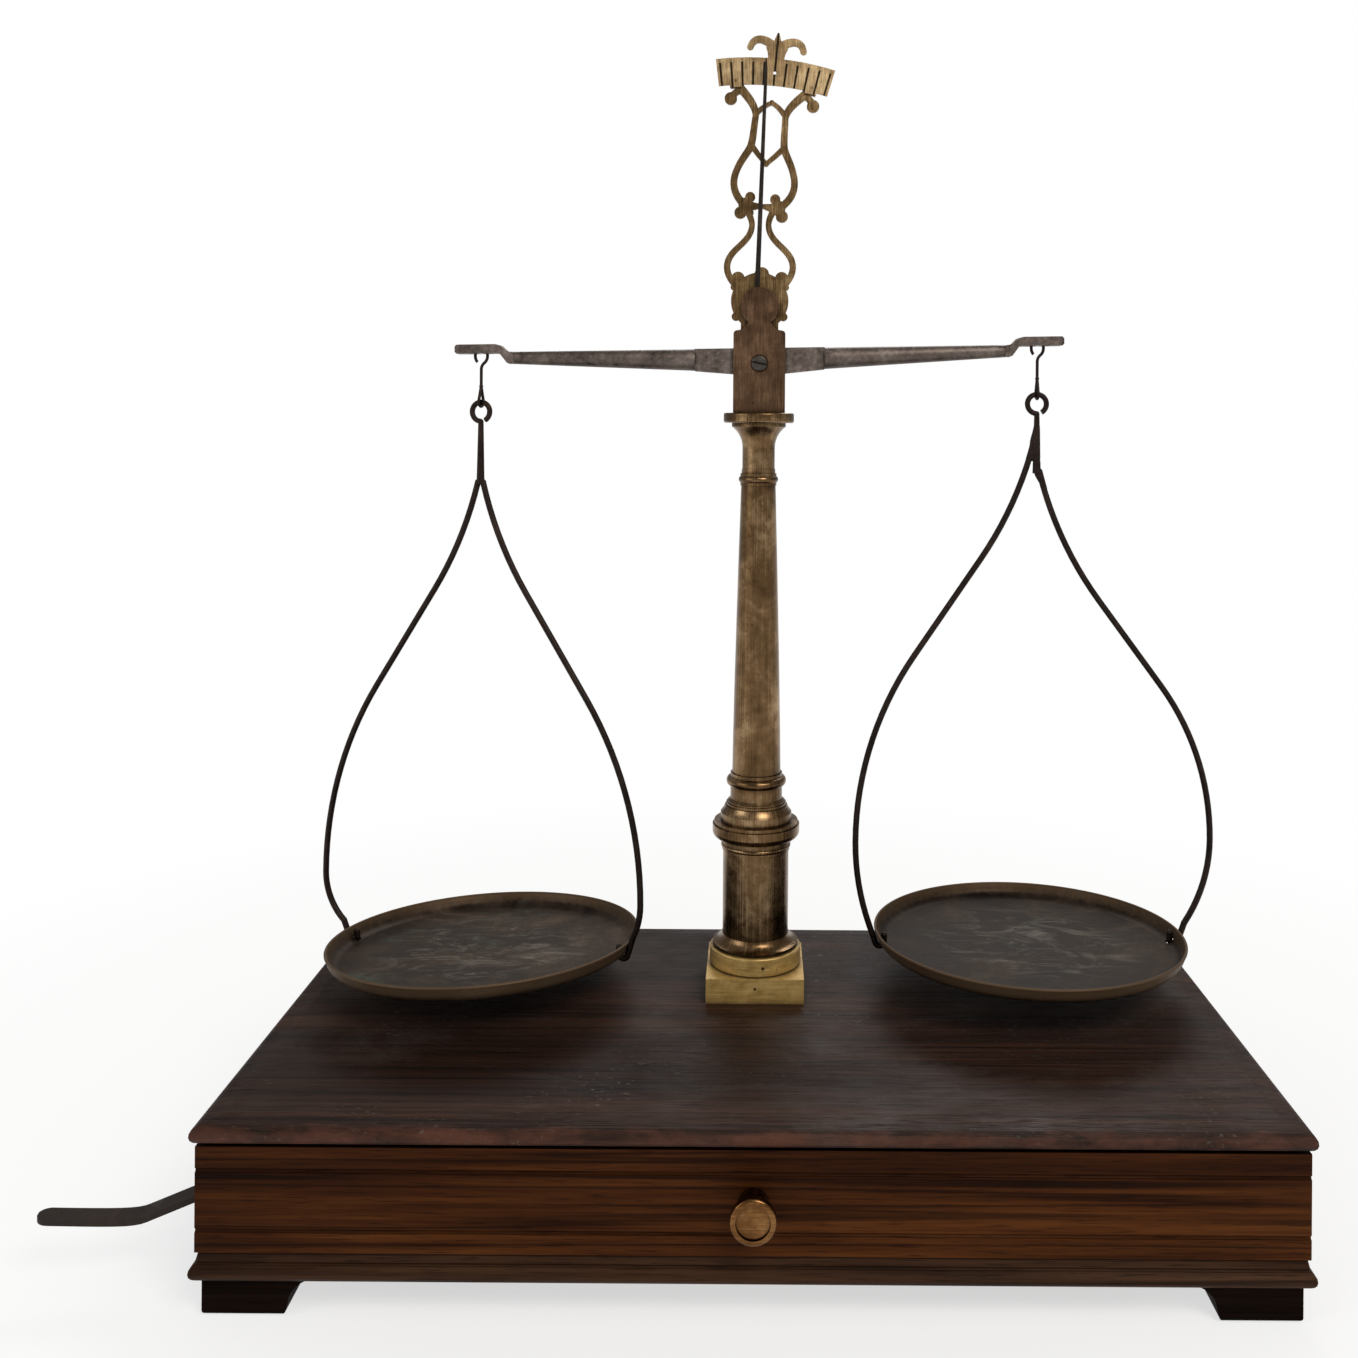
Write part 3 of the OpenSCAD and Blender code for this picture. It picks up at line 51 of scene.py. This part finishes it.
class Shade:
    """A material's node tree, with short calls for the nodes that the finishes share."""

    def __init__(self, name, metal=0.0, rough=0.5, **sockets):
        self.material = bpy.data.materials.new(name)
        self.material.use_nodes = True
        self.tree = self.material.node_tree
        self.shader = self.tree.nodes["Principled BSDF"]
        self.shader.inputs["Metallic"].default_value = metal
        self.shader.inputs["Roughness"].default_value = rough
        for k, v in sockets.items():
            self.shader.inputs[k.replace("_", " ")].default_value = v
        self.coords = self.tree.nodes.new("ShaderNodeTexCoord")

    def new(self, kind, **props):
        n = self.tree.nodes.new(kind)
        for k, v in props.items():
            setattr(n, k, v)
        return n

    def put(self, socket, value):
        """Links an output to the socket, or sets the socket to a number or colour."""
        if hasattr(value, "is_output"):
            self.tree.links.new(value, socket)
        elif isinstance(value, (tuple, list)) and len(value) == 3 and len(socket.default_value) == 4:
            socket.default_value = (*value, 1)
        else:
            socket.default_value = value

    def at(self, scale, loc=(0, 0, 0), rot=(0, 0, 0)):
        """The piece's own coordinates, scaled, moved and turned for a texture."""
        n = self.new("ShaderNodeMapping")
        self.put(n.inputs["Vector"], self.coords.outputs["Object"])
        n.inputs["Scale"].default_value = scale
        n.inputs["Location"].default_value = loc
        n.inputs["Rotation"].default_value = rot
        return n.outputs["Vector"]

    def noise(self, vec, detail=4, rough=0.55, distort=0.0):
        n = self.new("ShaderNodeTexNoise")
        self.put(n.inputs["Vector"], vec)
        n.inputs["Scale"].default_value = 1.0
        n.inputs["Detail"].default_value = detail
        n.inputs["Roughness"].default_value = rough
        n.inputs["Distortion"].default_value = distort
        return n.outputs["Fac"]

    def cells(self, vec):
        """Distance to the nearest of a field of scattered points."""
        n = self.new("ShaderNodeTexVoronoi")
        self.put(n.inputs["Vector"], vec)
        n.inputs["Scale"].default_value = 1.0
        n.inputs["Randomness"].default_value = 1.0
        return n.outputs["Distance"]

    def ramp(self, fac, stops):
        """A colour ramp. Its stops are (place, grey or colour), in order."""
        n = self.new("ShaderNodeValToRGB")
        self.put(n.inputs["Fac"], fac)
        e = n.color_ramp.elements
        while len(e) < len(stops):
            e.new(0.5)
        for el, (pos, c) in zip(e, stops):
            el.position = pos
            el.color = (*c, 1) if isinstance(c, (tuple, list)) else (c, c, c, 1)
        return n.outputs["Color"]

    def mix(self, fac, a, b, mode="MIX"):
        n = self.new("ShaderNodeMix", data_type="RGBA", blend_type=mode)
        self.put(n.inputs["Factor"], fac)
        self.put(n.inputs[6], a)
        self.put(n.inputs[7], b)
        return n.outputs[2]

    def math(self, op, a, b=0.0, clamp=False):
        """a and b joined by one of Blender's math operations. Each is a number or a node's output."""
        n = self.new("ShaderNodeMath", operation=op, use_clamp=clamp)
        self.put(n.inputs[0], a)
        self.put(n.inputs[1], b)
        return n.outputs[0]

    def xyz(self):
        n = self.new("ShaderNodeSeparateXYZ")
        self.put(n.inputs[0], self.coords.outputs["Object"])
        return n.outputs[0], n.outputs[1], n.outputs[2]

    def vector(self, x, y, z):
        n = self.new("ShaderNodeCombineXYZ")
        for i, v in enumerate((x, y, z)):
            self.put(n.inputs[i], v)
        return n.outputs[0]

    def polar(self, cx=0.0, cy=0.0):
        """(angle about an upright axis, with its seam behind, distance from the axis, height)."""
        x, y, z = self.xyz()
        dx = self.math("SUBTRACT", x, cx)
        dy = self.math("SUBTRACT", y, cy)
        angle = self.math("ARCTAN2", dx, self.math("MULTIPLY", dy, -1.0))
        r = self.math("SQRT", self.math("ADD", self.math("MULTIPLY", dx, dx), self.math("MULTIPLY", dy, dy)))
        return angle, r, z

    def crevice(self, distance):
        """1 on open surfaces, less in corners closer than the distance; the finishes use it to paint shade into
        their colour.
        """
        n = self.new("ShaderNodeAmbientOcclusion", samples=CREVICE_SAMPLES)
        n.inputs["Distance"].default_value = distance
        return n.outputs["AO"]

    def finish(self, color, rough, height, strength, depth):
        """Wires up the shader and returns the material."""
        self.put(self.shader.inputs["Base Color"], color)
        self.put(self.shader.inputs["Roughness"], rough)
        bump = self.new("ShaderNodeBump")
        bump.inputs["Strength"].default_value = strength
        bump.inputs["Distance"].default_value = depth
        self.put(bump.inputs["Height"], height)
        self.put(self.shader.inputs["Normal"], bump.outputs["Normal"])
        return self.material


def along(axis, grain, cross):
    """Scales that stretch a texture along one axis."""
    return tuple(grain if i == axis else cross for i in range(3))


# Linear colours that finishes share
RUBBED_RED = (0.105, 0.038, 0.022)
BLOOM_GREY = (0.105, 0.085, 0.075)
RUST = (0.05, 0.026, 0.016)
MARK_BLACK = (0.006, 0.005, 0.004)
VERDIGRIS = (0.060, 0.085, 0.066)
LIP_BROWN = (0.115, 0.072, 0.040)
PAN_SMEAR = (0.20, 0.172, 0.142)
PAN_SCRATCH = (0.2, 0.18, 0.15)

# The scale seen from the front: its arc's centre, the middle mark's lean and the marks' step in degrees,
# and the radius past which only the middle mark goes on, up the lily
SCALE_ARC = {"x": -0.00592, "z": 0.41688, "lean": 5.1, "step": 2.2372, "radius": 0.1524}


def darker(color, share):
    return tuple(c * share for c in color)


def wood(name, axis, dark, mid, light, rough, gloss, bloom=0.0, worn_edge=None):
    """Old polished wood whose grain runs along one axis (0 is x, 1 is y).

    bloom is how much grey haze and speckling lies on it, and worn_edge is the y of a front edge rubbed red.
    """
    s = Shade(name, Specular_IOR_Level=gloss)
    broad = s.noise(s.at(along(axis, 1.6, 26)), 5, 0.6, 0.7)
    streak = s.noise(s.at(along(axis, 7, 330)), 4, 0.65)
    vein = s.noise(s.at(along(axis, 1.1, 75), loc=(3, 5, 7)), 3, 0.5, 0.3)
    line = s.ramp(vein, [(0.475, 0), (0.5, 1), (0.512, 1), (0.54, 0)])
    pore = s.ramp(s.noise(s.at(along(axis, 55, 1500)), 2, 0.5), [(0.32, 1), (0.44, 0)])
    tone = s.math("ADD", s.math("MULTIPLY", broad, 0.6), s.math("MULTIPLY", streak, 0.45))
    color = s.ramp(tone, [(0.34, dark), (0.52, mid), (0.74, light)])
    color = s.mix(s.math("MULTIPLY", line, 0.6), color, darker(dark, 0.25))
    color = s.mix(s.math("MULTIPLY", pore, 0.55), color, darker(dark, 0.4))
    if worn_edge is not None:
        _, y, _ = s.xyz()
        near = s.math("ADD", s.math("MULTIPLY", s.math("SUBTRACT", y, worn_edge), -55.0),
                      s.math("MULTIPLY", s.noise(s.at((30, 120, 60)), 5, 0.7), 1.3))
        edge = s.ramp(near, [(0.62, 0), (1.0, 1)])
        color = s.mix(s.math("MULTIPLY", edge, 0.75), color, RUBBED_RED)
    # Painted shade: the colour is darkened in corners by how hidden they are from the light
    corner_shade = s.ramp(s.crevice(0.006), [(0.35, 0.25), (0.9, 1.0)])
    color = s.mix(1.0, color, corner_shade, "MULTIPLY")
    if bloom:
        haze = s.ramp(s.noise(s.at((9, 22, 9)), 7, 0.75, 0.6), [(0.52, 0), (0.8, 1)])
        spots = s.ramp(s.noise(s.at((260, 420, 260)), 4, 0.75), [(0.6, 0), (0.68, 1)])
        patch = s.ramp(s.noise(s.at((14, 14, 14), loc=(2, 8, 1)), 3, 0.6), [(0.5, 0), (0.62, 1)])
        specks = s.math("MULTIPLY", spots, patch)
        grey = s.math("MULTIPLY", s.math("ADD", s.math("MULTIPLY", haze, 0.3), specks, clamp=True), bloom)
        color = s.mix(grey, color, BLOOM_GREY)
    worn = s.noise(s.at((24, 24, 24)), 4, 0.6)
    r = s.ramp(worn, [(0.3, rough[0]), (0.7, rough[1])])
    height = s.math("SUBTRACT", s.math("MULTIPLY", streak, 0.5), s.math("ADD", pore, s.math("MULTIPLY", line, 0.5)))
    return s.finish(color, r, height=height, strength=0.35, depth=0.0004)


def scale_marks(s, color, arc):
    """The scale's black lines, which point at the centre of its arc."""
    x, _, z = s.xyz()
    turn = s.math("ARCTAN2", s.math("SUBTRACT", x, arc["x"]), s.math("SUBTRACT", z, arc["z"]))
    step = s.math("DIVIDE", s.math("SUBTRACT", turn, math.radians(arc["lean"])), math.radians(arc["step"]))
    black = s.ramp(s.math("PINGPONG", step, 0.5), [(0.085, 1), (0.115, 0)])
    dx = s.math("SUBTRACT", x, arc["x"])
    dz = s.math("SUBTRACT", z, arc["z"])
    reach = s.math("SQRT", s.math("ADD", s.math("MULTIPLY", dx, dx), s.math("MULTIPLY", dz, dz)))
    band = s.math("LESS_THAN", reach, arc["radius"])
    middle = s.math("LESS_THAN", s.math("ABSOLUTE", step), 0.3)
    black = s.math("MULTIPLY", black, s.math("MAXIMUM", band, middle))
    return s.mix(s.math("MULTIPLY", black, 0.93), color, MARK_BLACK)


def brass(name, dark, mid, light, grain, rough=(0.28, 0.5), corner_shade_amount=0.7, arc=None, metal=1.0):
    """Old brass. Its fine lines run "up" or "round" a turned piece, or are "brushed" up a flat one.

    corner_shade_amount is how much painted shade darkens its corners, and arc is given for the scale's marks.
    """
    s = Shade(name, metal=metal)
    cloud = s.noise(s.at((38, 38, 38)), 5, 0.6, 0.5)
    mottle = s.noise(s.at((210, 210, 210)), 4, 0.7)
    if grain == "brushed":
        lines = s.noise(s.at((1500, 1500, 70)), 3, 0.6)
    else:
        angle, _, z = s.polar()
        across, along_z = (1.4, 900) if grain == "round" else (22, 14)
        lines = s.noise(s.vector(s.math("MULTIPLY", angle, across), 0.0, s.math("MULTIPLY", z, along_z)), 4, 0.7)
    fine = s.math("ADD", s.math("MULTIPLY", mottle, 0.2), s.math("MULTIPLY", lines, 0.34))
    tone = s.math("ADD", s.math("MULTIPLY", cloud, 0.5), fine)
    color = s.ramp(tone, [(0.36, dark), (0.52, mid), (0.68, light)])
    # Painted shade: corners are darkened towards near black by how hidden they are from the light
    corner_shade = s.math("MULTIPLY", s.ramp(s.crevice(0.003), [(0.45, 1.0), (0.92, 0.0)]), corner_shade_amount)
    color = s.mix(corner_shade, color, darker(dark, 0.16))
    spots = s.ramp(s.cells(s.at((150, 150, 150))), [(0.05, 1), (0.13, 0)])
    sparse = s.ramp(s.noise(s.at((60, 60, 60), loc=(4, 4, 4)), 2), [(0.52, 0), (0.6, 1)])
    color = s.mix(s.math("MULTIPLY", s.math("MULTIPLY", spots, sparse), 0.7), color, darker(dark, 0.2))
    if arc:
        color = scale_marks(s, color, arc)
    r = s.ramp(s.math("ADD", s.math("MULTIPLY", mottle, 0.5), s.math("MULTIPLY", lines, 0.5)),
               [(0.3, rough[0]), (0.7, rough[1])])
    height = s.math("ADD", s.math("MULTIPLY", lines, 0.5), s.math("MULTIPLY", mottle, 0.5))
    return s.finish(color, r, height=height, strength=0.25, depth=0.00025)


def iron(name, dark, mid, light, rough=(0.4, 0.62), metal=0.85):
    """Darkened iron or steel with a little rust, fine pitting and painted shade in its corners."""
    s = Shade(name, metal=metal)
    cloud = s.noise(s.at((55, 55, 55)), 5, 0.65, 0.4)
    fine = s.noise(s.at((420, 420, 420)), 4, 0.7)
    tone = s.math("ADD", s.math("MULTIPLY", cloud, 0.6), s.math("MULTIPLY", fine, 0.4))
    color = s.ramp(tone, [(0.36, dark), (0.52, mid), (0.7, light)])
    rust = s.ramp(s.noise(s.at((46, 46, 46), loc=(7, 1, 3)), 6, 0.7), [(0.52, 0), (0.75, 1)])
    color = s.mix(s.math("MULTIPLY", rust, 0.35), color, RUST)
    # Painted shade: the colour is darkened in corners by how hidden they are from the light
    ao = s.ramp(s.crevice(0.002), [(0.5, 0.3), (0.95, 1.0)])
    color = s.mix(1.0, color, ao, "MULTIPLY")
    r = s.ramp(tone, [(0.35, rough[0]), (0.7, rough[1])])
    return s.finish(color, r, height=fine, strength=0.2, depth=0.0003)


def pan_metal(name, node, green, painted_light_share):
    """Dark patina with rings from spinning, rubbed grey smears, verdigris and a browner lip.

    green is how much verdigris it has, and painted_light_share scales its patina's lightness as painted shade, for
    how the light falls on each pan.
    """
    lo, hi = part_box(node)
    cx, cy = (lo[0] + hi[0]) / 2, (lo[1] + hi[1]) / 2
    rim = (hi[0] - lo[0]) / 2
    s = Shade(name, metal=0.5, Specular_IOR_Level=0.08)
    angle, r, z = s.polar(cx, cy)
    rings = s.noise(s.vector(s.math("MULTIPLY", angle, 1.2), s.math("MULTIPLY", r, 520), 0.0), 4, 0.65)
    cloud = s.noise(s.at((17, 17, 17)), 6, 0.62, 0.8)
    fine = s.noise(s.at((260, 260, 260)), 4, 0.7)
    tone = s.math("ADD", s.math("MULTIPLY", cloud, 0.66),
                  s.math("ADD", s.math("MULTIPLY", rings, 0.08), s.math("MULTIPLY", fine, 0.26)))
    color = s.ramp(tone, [(0.36, darker((0.014, 0.0085, 0.0055), painted_light_share)),
                          (0.52, darker((0.044, 0.029, 0.020), painted_light_share)),
                          (0.68, darker((0.115, 0.079, 0.054), painted_light_share))])
    smear = s.ramp(s.noise(s.at((30, 62, 30), loc=(1, 2, 3), rot=(0, 0, 0.35)), 8, 0.78, 1.4),
                   [(0.50, 0), (0.68, 1)])
    inner = s.ramp(s.math("DIVIDE", r, rim), [(0.45, 1), (0.78, 0)])
    color = s.mix(s.math("MULTIPLY", s.math("MULTIPLY", smear, inner), 0.85), color, darker(PAN_SMEAR, painted_light_share))
    scratch = s.ramp(s.noise(s.at((14, 900, 14), rot=(0, 0, 0.5)), 2, 0.5), [(0.66, 0), (0.70, 1)])
    color = s.mix(s.math("MULTIPLY", s.math("MULTIPLY", scratch, inner), 0.3), color, PAN_SCRATCH)
    verd = s.ramp(s.noise(s.at((34, 48, 34), loc=(9, 3, 5)), 6, 0.75), [(0.58, 0), (0.74, 1)])
    color = s.mix(s.math("MULTIPLY", verd, green), color, VERDIGRIS)
    lip = s.ramp(s.math("ADD", s.math("DIVIDE", r, rim), s.math("MULTIPLY", fine, 0.02)), [(0.965, 0), (0.99, 1)])
    color = s.mix(s.math("MULTIPLY", lip, 0.7), color, LIP_BROWN)
    rough = s.ramp(tone, [(0.3, 0.40), (0.7, 0.66)])
    height = s.math("ADD", s.math("MULTIPLY", rings, 0.3), s.math("MULTIPLY", cloud, 2.0))
    return s.finish(color, rough, height=height, strength=0.3, depth=0.0005)


# One finish for each material slot of the record. Each has a dark, a middle and a light linear colour.
MATERIALS = {
    "top_wood": wood("top_wood", 0, (0.0075, 0.0028, 0.0016), (0.024, 0.0098, 0.0055),
                     (0.062, 0.0265, 0.0145), rough=(0.4, 0.62), gloss=0.13, bloom=0.9, worn_edge=-0.1462),
    "front_wood": wood("front_wood", 0, (0.0065, 0.0016, 0.0005), (0.034, 0.0094, 0.0021),
                       (0.098, 0.031, 0.007), rough=(0.36, 0.6), gloss=0.04),
    "side_wood": wood("side_wood", 1, (0.003, 0.0009, 0.0004), (0.011, 0.0038, 0.0014),
                      (0.028, 0.010, 0.0035), rough=(0.4, 0.62), gloss=0.05),
    "base_wood": wood("base_wood", 0, (0.006, 0.0022, 0.0009), (0.024, 0.010, 0.0045), (0.066, 0.030, 0.014),
                      rough=(0.38, 0.6), gloss=0.06),
    "foot_wood": wood("foot_wood", 0, (0.0022, 0.0009, 0.0005), (0.0055, 0.0024, 0.0014),
                      (0.014, 0.0062, 0.0034), rough=(0.5, 0.72), gloss=0.02),
    "inner_wood": wood("inner_wood", 0, (0.13, 0.07, 0.035), (0.25, 0.15, 0.08), (0.36, 0.23, 0.13),
                       rough=(0.6, 0.8), gloss=0.0),
    "column_brass": brass("column_brass", (0.030, 0.015, 0.006), (0.150, 0.088, 0.040),
                          (0.46, 0.315, 0.175), "up", rough=(0.17, 0.42)),
    "plinth_brass": brass("plinth_brass", (0.12, 0.070, 0.020), (0.42, 0.27, 0.085),
                          (0.68, 0.47, 0.18), "round", metal=0.45),
    "cheek_brass": brass("cheek_brass", (0.048, 0.026, 0.014), (0.112, 0.063, 0.036), (0.20, 0.118, 0.068),
                         "brushed"),
    "index_brass": brass("index_brass", (0.050, 0.028, 0.012), (0.21, 0.128, 0.056), (0.50, 0.34, 0.17),
                         "brushed", rough=(0.2, 0.42)),
    "scale_brass": brass("scale_brass", (0.10, 0.058, 0.026), (0.36, 0.245, 0.125), (0.66, 0.50, 0.29),
                         "brushed", arc=SCALE_ARC),
    "knob_brass": brass("knob_brass", (0.045, 0.018, 0.006), (0.145, 0.065, 0.022),
                        (0.40, 0.21, 0.08), "round", rough=(0.18, 0.36), corner_shade_amount=0.9),
    "beam_iron": iron("beam_iron", (0.050, 0.038, 0.033), (0.130, 0.102, 0.088), (0.27, 0.225, 0.20)),
    "wire_iron": iron("wire_iron", (0.010, 0.006, 0.0045), (0.020, 0.0125, 0.0095), (0.042, 0.027, 0.020)),
    "lever_iron": iron("lever_iron", (0.009, 0.005, 0.003), (0.021, 0.0115, 0.0070), (0.045, 0.026, 0.016),
                       rough=(0.6, 0.8), metal=0.4),
    "knife_steel": iron("knife_steel", (0.12, 0.115, 0.11), (0.22, 0.215, 0.21), (0.34, 0.33, 0.32),
                        rough=(0.25, 0.4), metal=1.0),
    "pointer_iron": iron("pointer_iron", (0.012, 0.009, 0.007), (0.024, 0.018, 0.014), (0.05, 0.040, 0.032)),
    "rod_steel": iron("rod_steel", (0.10, 0.095, 0.09), (0.19, 0.18, 0.17), (0.3, 0.29, 0.28),
                      rough=(0.3, 0.45), metal=1.0),
    "screw_iron": iron("screw_iron", (0.04, 0.034, 0.03), (0.085, 0.073, 0.062), (0.16, 0.14, 0.12),
                       rough=(0.3, 0.5), metal=0.95),
}
# The right pan is painted darker than the left: painted shade for the way light falls on its tilt
PAN_MATERIALS = {"left_pan": pan_metal("pan_brass_left", "left_pan", green=0.75, painted_light_share=0.95),
                 "right_pan": pan_metal("pan_brass_right", "right_pan", green=0.3, painted_light_share=0.62)}

# Widths in metres of the softened edges
BEVELS = {"top_board": 0.0006, "base_board": 0.0007, "drawer_front": 0.0008, "side_left": 0.0005,
          "side_right": 0.0005, "back_board": 0.0005, "foot_front_left": 0.0012, "foot_front_right": 0.0012,
          "foot_back_left": 0.0012, "foot_back_right": 0.0012, "column_plinth": 0.0005, "front_cheek": 0.0003,
          "rear_cheek": 0.0003, "index_frame": 0.00035, "index_scale": 0.00018, "beam": 0.0004,
          "lever_handle": 0.0004, "head_block": 0.0004, "drawer_side_left": 0.0004, "drawer_side_right": 0.0004,
          "drawer_back": 0.0004, "column_nut": 0.0005, "pointer": 0.00025}

WELD_GAP = 0.00001
BEVEL_ANGLE = math.radians(32)

for name, node in NODES.items():
    material = PAN_MATERIALS.get(name) or MATERIALS[SLOTS[name]]
    node.data.materials.clear()
    node.data.materials.append(material)
    if name in BEVELS:
        weld = node.modifiers.new("weld", "WELD")
        weld.merge_threshold = WELD_GAP
        bevel = node.modifiers.new("soft_edges", "BEVEL")
        bevel.width = BEVELS[name]
        bevel.segments = 2
        bevel.limit_method = "ANGLE"
        bevel.angle_limit = BEVEL_ANGLE
        bevel.harden_normals = False
        bevel.use_clamp_overlap = True


# The right bow's ring, which hangs under its end knife, and the width of its wire cut level
RIGHT_RING = (0.146495, 0.0, 0.38797)
WIRE_WIDTH = 0.0031
RAY_REACH = 0.05
FILLET_STEPS = 26
FILLET_AROUND = 24
# Steps over which a fillet's top and foot thin out, and its half depths at the ends and between them
TOP_FADE = 3
FOOT_FADE = 2.5
THIN_DEPTH = 0.0008
ADDED_DEPTH = 0.00085
# How far a fillet lies inside the wires' outline at its ends, and grows out past that between them
INSET = 0.00004
SWELL = 0.00012


def smooth(t):
    return t * t * (3 - 2 * t)


def oblong_point(mid, half, deep, angle, z):
    """A point on a rounded oblong section."""
    c, d = math.cos(angle), math.sin(angle)
    return (mid + half * math.copysign(abs(c) ** 0.7, c), deep * math.copysign(abs(d) ** 0.7, d), z)


def fillet(name, node, ring, top, join, foot, fork):
    """Brazing where a bow's two wires part. top, join and foot are drops below the ring's middle.

    A fork fills the gap from the stem down to where the wires have parted, with its left side eased in up to
    join. Otherwise it is a sleeve round the right wire, whose left side eases from the stem's to the wire's
    between join and foot.
    """
    wire = NODES[node]

    def sides(drop):
        z = ring[2] - drop
        left = wire.ray_cast(Vector((ring[0] - RAY_REACH, 0, z)), Vector((1, 0, 0)))
        right = wire.ray_cast(Vector((ring[0] + RAY_REACH, 0, z)), Vector((-1, 0, 0)))
        return left[1].x, right[1].x

    stem_left = sides(top)[0] if fork else sides(top)[1] - WIRE_WIDTH
    end_left = sides(join)[0] if fork else sides(foot)[1] - WIRE_WIDTH
    bm = bmesh.new()
    rows = []
    for i in range(FILLET_STEPS + 1):
        drop = top + (foot - top) * i / FILLET_STEPS
        left, right = sides(drop)
        if not fork:
            left = stem_left + (end_left - stem_left) * smooth(max(0.0, (drop - join) / (foot - join)))
        elif drop < join:
            left = stem_left + (end_left - stem_left) * smooth((drop - top) / (join - top))
        full = min(1.0, i / TOP_FADE, (FILLET_STEPS - i) / FOOT_FADE)
        half = (right - left) / 2 - INSET + SWELL * full
        deep = THIN_DEPTH + ADDED_DEPTH * full
        mid = (left + right) / 2
        rows.append([bm.verts.new(oblong_point(mid, half, deep, 2 * math.pi * k / FILLET_AROUND, ring[2] - drop))
                     for k in range(FILLET_AROUND)])
    for upper, lower in zip(rows, rows[1:]):
        for k in range(FILLET_AROUND):
            after = (k + 1) % FILLET_AROUND
            bm.faces.new((upper[k], upper[after], lower[after], lower[k]))
    bm.faces.new(rows[0])
    bm.faces.new(list(reversed(rows[-1])))
    bmesh.ops.recalc_face_normals(bm, faces=bm.faces)
    mesh = bpy.data.meshes.new(name)
    bm.to_mesh(mesh)
    bm.free()
    mesh.shade_smooth()
    piece = bpy.data.objects.new(name, mesh)
    bpy.context.scene.collection.objects.link(piece)
    mesh.materials.append(MATERIALS["wire_iron"])
    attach(piece, node)


fillet("right_bow_braze", "right_bow", RIGHT_RING, 0.0105, 0.0215, 0.0300, fork=True)
fillet("right_bow_sleeve", "right_bow", RIGHT_RING, 0.0290, 0.0354, 0.0450, fork=False)

# Floor, light and camera
FLOOR_RADIUS = 6.0
FLOOR_DROP = 0.0002
# How much the floor glows white, by a quarter of the distance from the column in metres
FLOOR_GLOW = [(0.05, 0.62), (0.10, 0.80), (0.17, 1.0)]


def floor():
    """Pale paper that takes the shadow near the object and fades to white further out."""
    bpy.ops.mesh.primitive_plane_add(size=2 * FLOOR_RADIUS, location=(0, 0, -FLOOR_DROP))
    o = bpy.context.object
    o.name = "floor"
    s = Shade("floor_paper", rough=0.9)
    s.shader.inputs["Base Color"].default_value = (0.9, 0.895, 0.885, 1)
    glow = s.new("ShaderNodeEmission")
    glow.inputs["Strength"].default_value = 1.0
    _, r, _ = s.polar()
    far = s.ramp(s.math("MULTIPLY", r, 0.25), FLOOR_GLOW)
    mix = s.new("ShaderNodeMixShader")
    s.put(mix.inputs[0], far)
    s.tree.links.new(s.shader.outputs[0], mix.inputs[1])
    s.tree.links.new(glow.outputs[0], mix.inputs[2])
    s.tree.links.new(mix.outputs[0], s.tree.nodes["Material Output"].inputs["Surface"])
    o.data.materials.append(s.material)


floor()


def area_light(name, place, target, size, power, color=(1, 1, 1)):
    """A soft box of this size in metres and power in watts."""
    light = bpy.data.lights.new(name, "AREA")
    light.shape = "RECTANGLE"
    light.size, light.size_y = size
    light.energy = power
    light.color = color
    o = bpy.data.objects.new(name, light)
    bpy.context.scene.collection.objects.link(o)
    o.location = place
    o.rotation_euler = (Vector(target) - Vector(place)).to_track_quat("-Z", "Y").to_euler()


area_light("key", (0.75, -1.3, 1.5), (0, 0, 0.25), (0.9, 0.7), 22, (1.0, 0.97, 0.92))
area_light("fill", (-1.5, -0.9, 0.9), (0, 0, 0.25), (1.0, 1.0), 9, (0.95, 0.97, 1.0))
area_light("rim", (0.3, 1.4, 1.5), (0, 0, 0.3), (1.2, 0.6), 12)

# The studio lights the object softly and is plain white to the camera
STUDIO_STRENGTH = 0.36
world = bpy.data.worlds.new("studio")
bpy.context.scene.world = world
world.use_nodes = True
wt = world.node_tree
lit = wt.nodes["Background"]
lit.inputs["Color"].default_value = (1.0, 0.985, 0.96, 1)
lit.inputs["Strength"].default_value = STUDIO_STRENGTH
seen = wt.nodes.new("ShaderNodeBackground")
seen.inputs["Color"].default_value = (1, 1, 1, 1)
seen.inputs["Strength"].default_value = 1.0
path = wt.nodes.new("ShaderNodeLightPath")
choose = wt.nodes.new("ShaderNodeMixShader")
wt.links.new(path.outputs["Is Camera Ray"], choose.inputs[0])
wt.links.new(lit.outputs[0], choose.inputs[1])
wt.links.new(seen.outputs[0], choose.inputs[2])
wt.links.new(choose.outputs[0], wt.nodes["World Output"].inputs["Surface"])

scene = bpy.context.scene
scene.view_settings.view_transform = "Standard"

# The photo's camera looks level from in front of the column, and its frame is cut off centre
PHOTO_PX = 1358
FOCAL_PX = 1350
HORIZON_Y = 426
AXIS_X = 758.8
ROLL = math.radians(0.41)
CAMERA_AT = Vector((0.0, -0.7115, 0.3755))
SENSOR_MM = 36
cam_data = bpy.data.cameras.new("camera")
cam_data.sensor_width = SENSOR_MM
cam_data.lens = SENSOR_MM * FOCAL_PX / PHOTO_PX
cam_data.clip_start = 0.01
cam_data.clip_end = 50
cam_data.shift_x = -(AXIS_X - PHOTO_PX / 2) / PHOTO_PX
cam_data.shift_y = -(PHOTO_PX / 2 - HORIZON_Y) / PHOTO_PX
camera = bpy.data.objects.new("camera", cam_data)
scene.collection.objects.link(camera)
camera.matrix_world = (Matrix.Translation(CAMERA_AT) @ Matrix.Rotation(math.radians(90), 4, "X")
                       @ Matrix.Rotation(ROLL, 4, "Z"))
scene.camera = camera
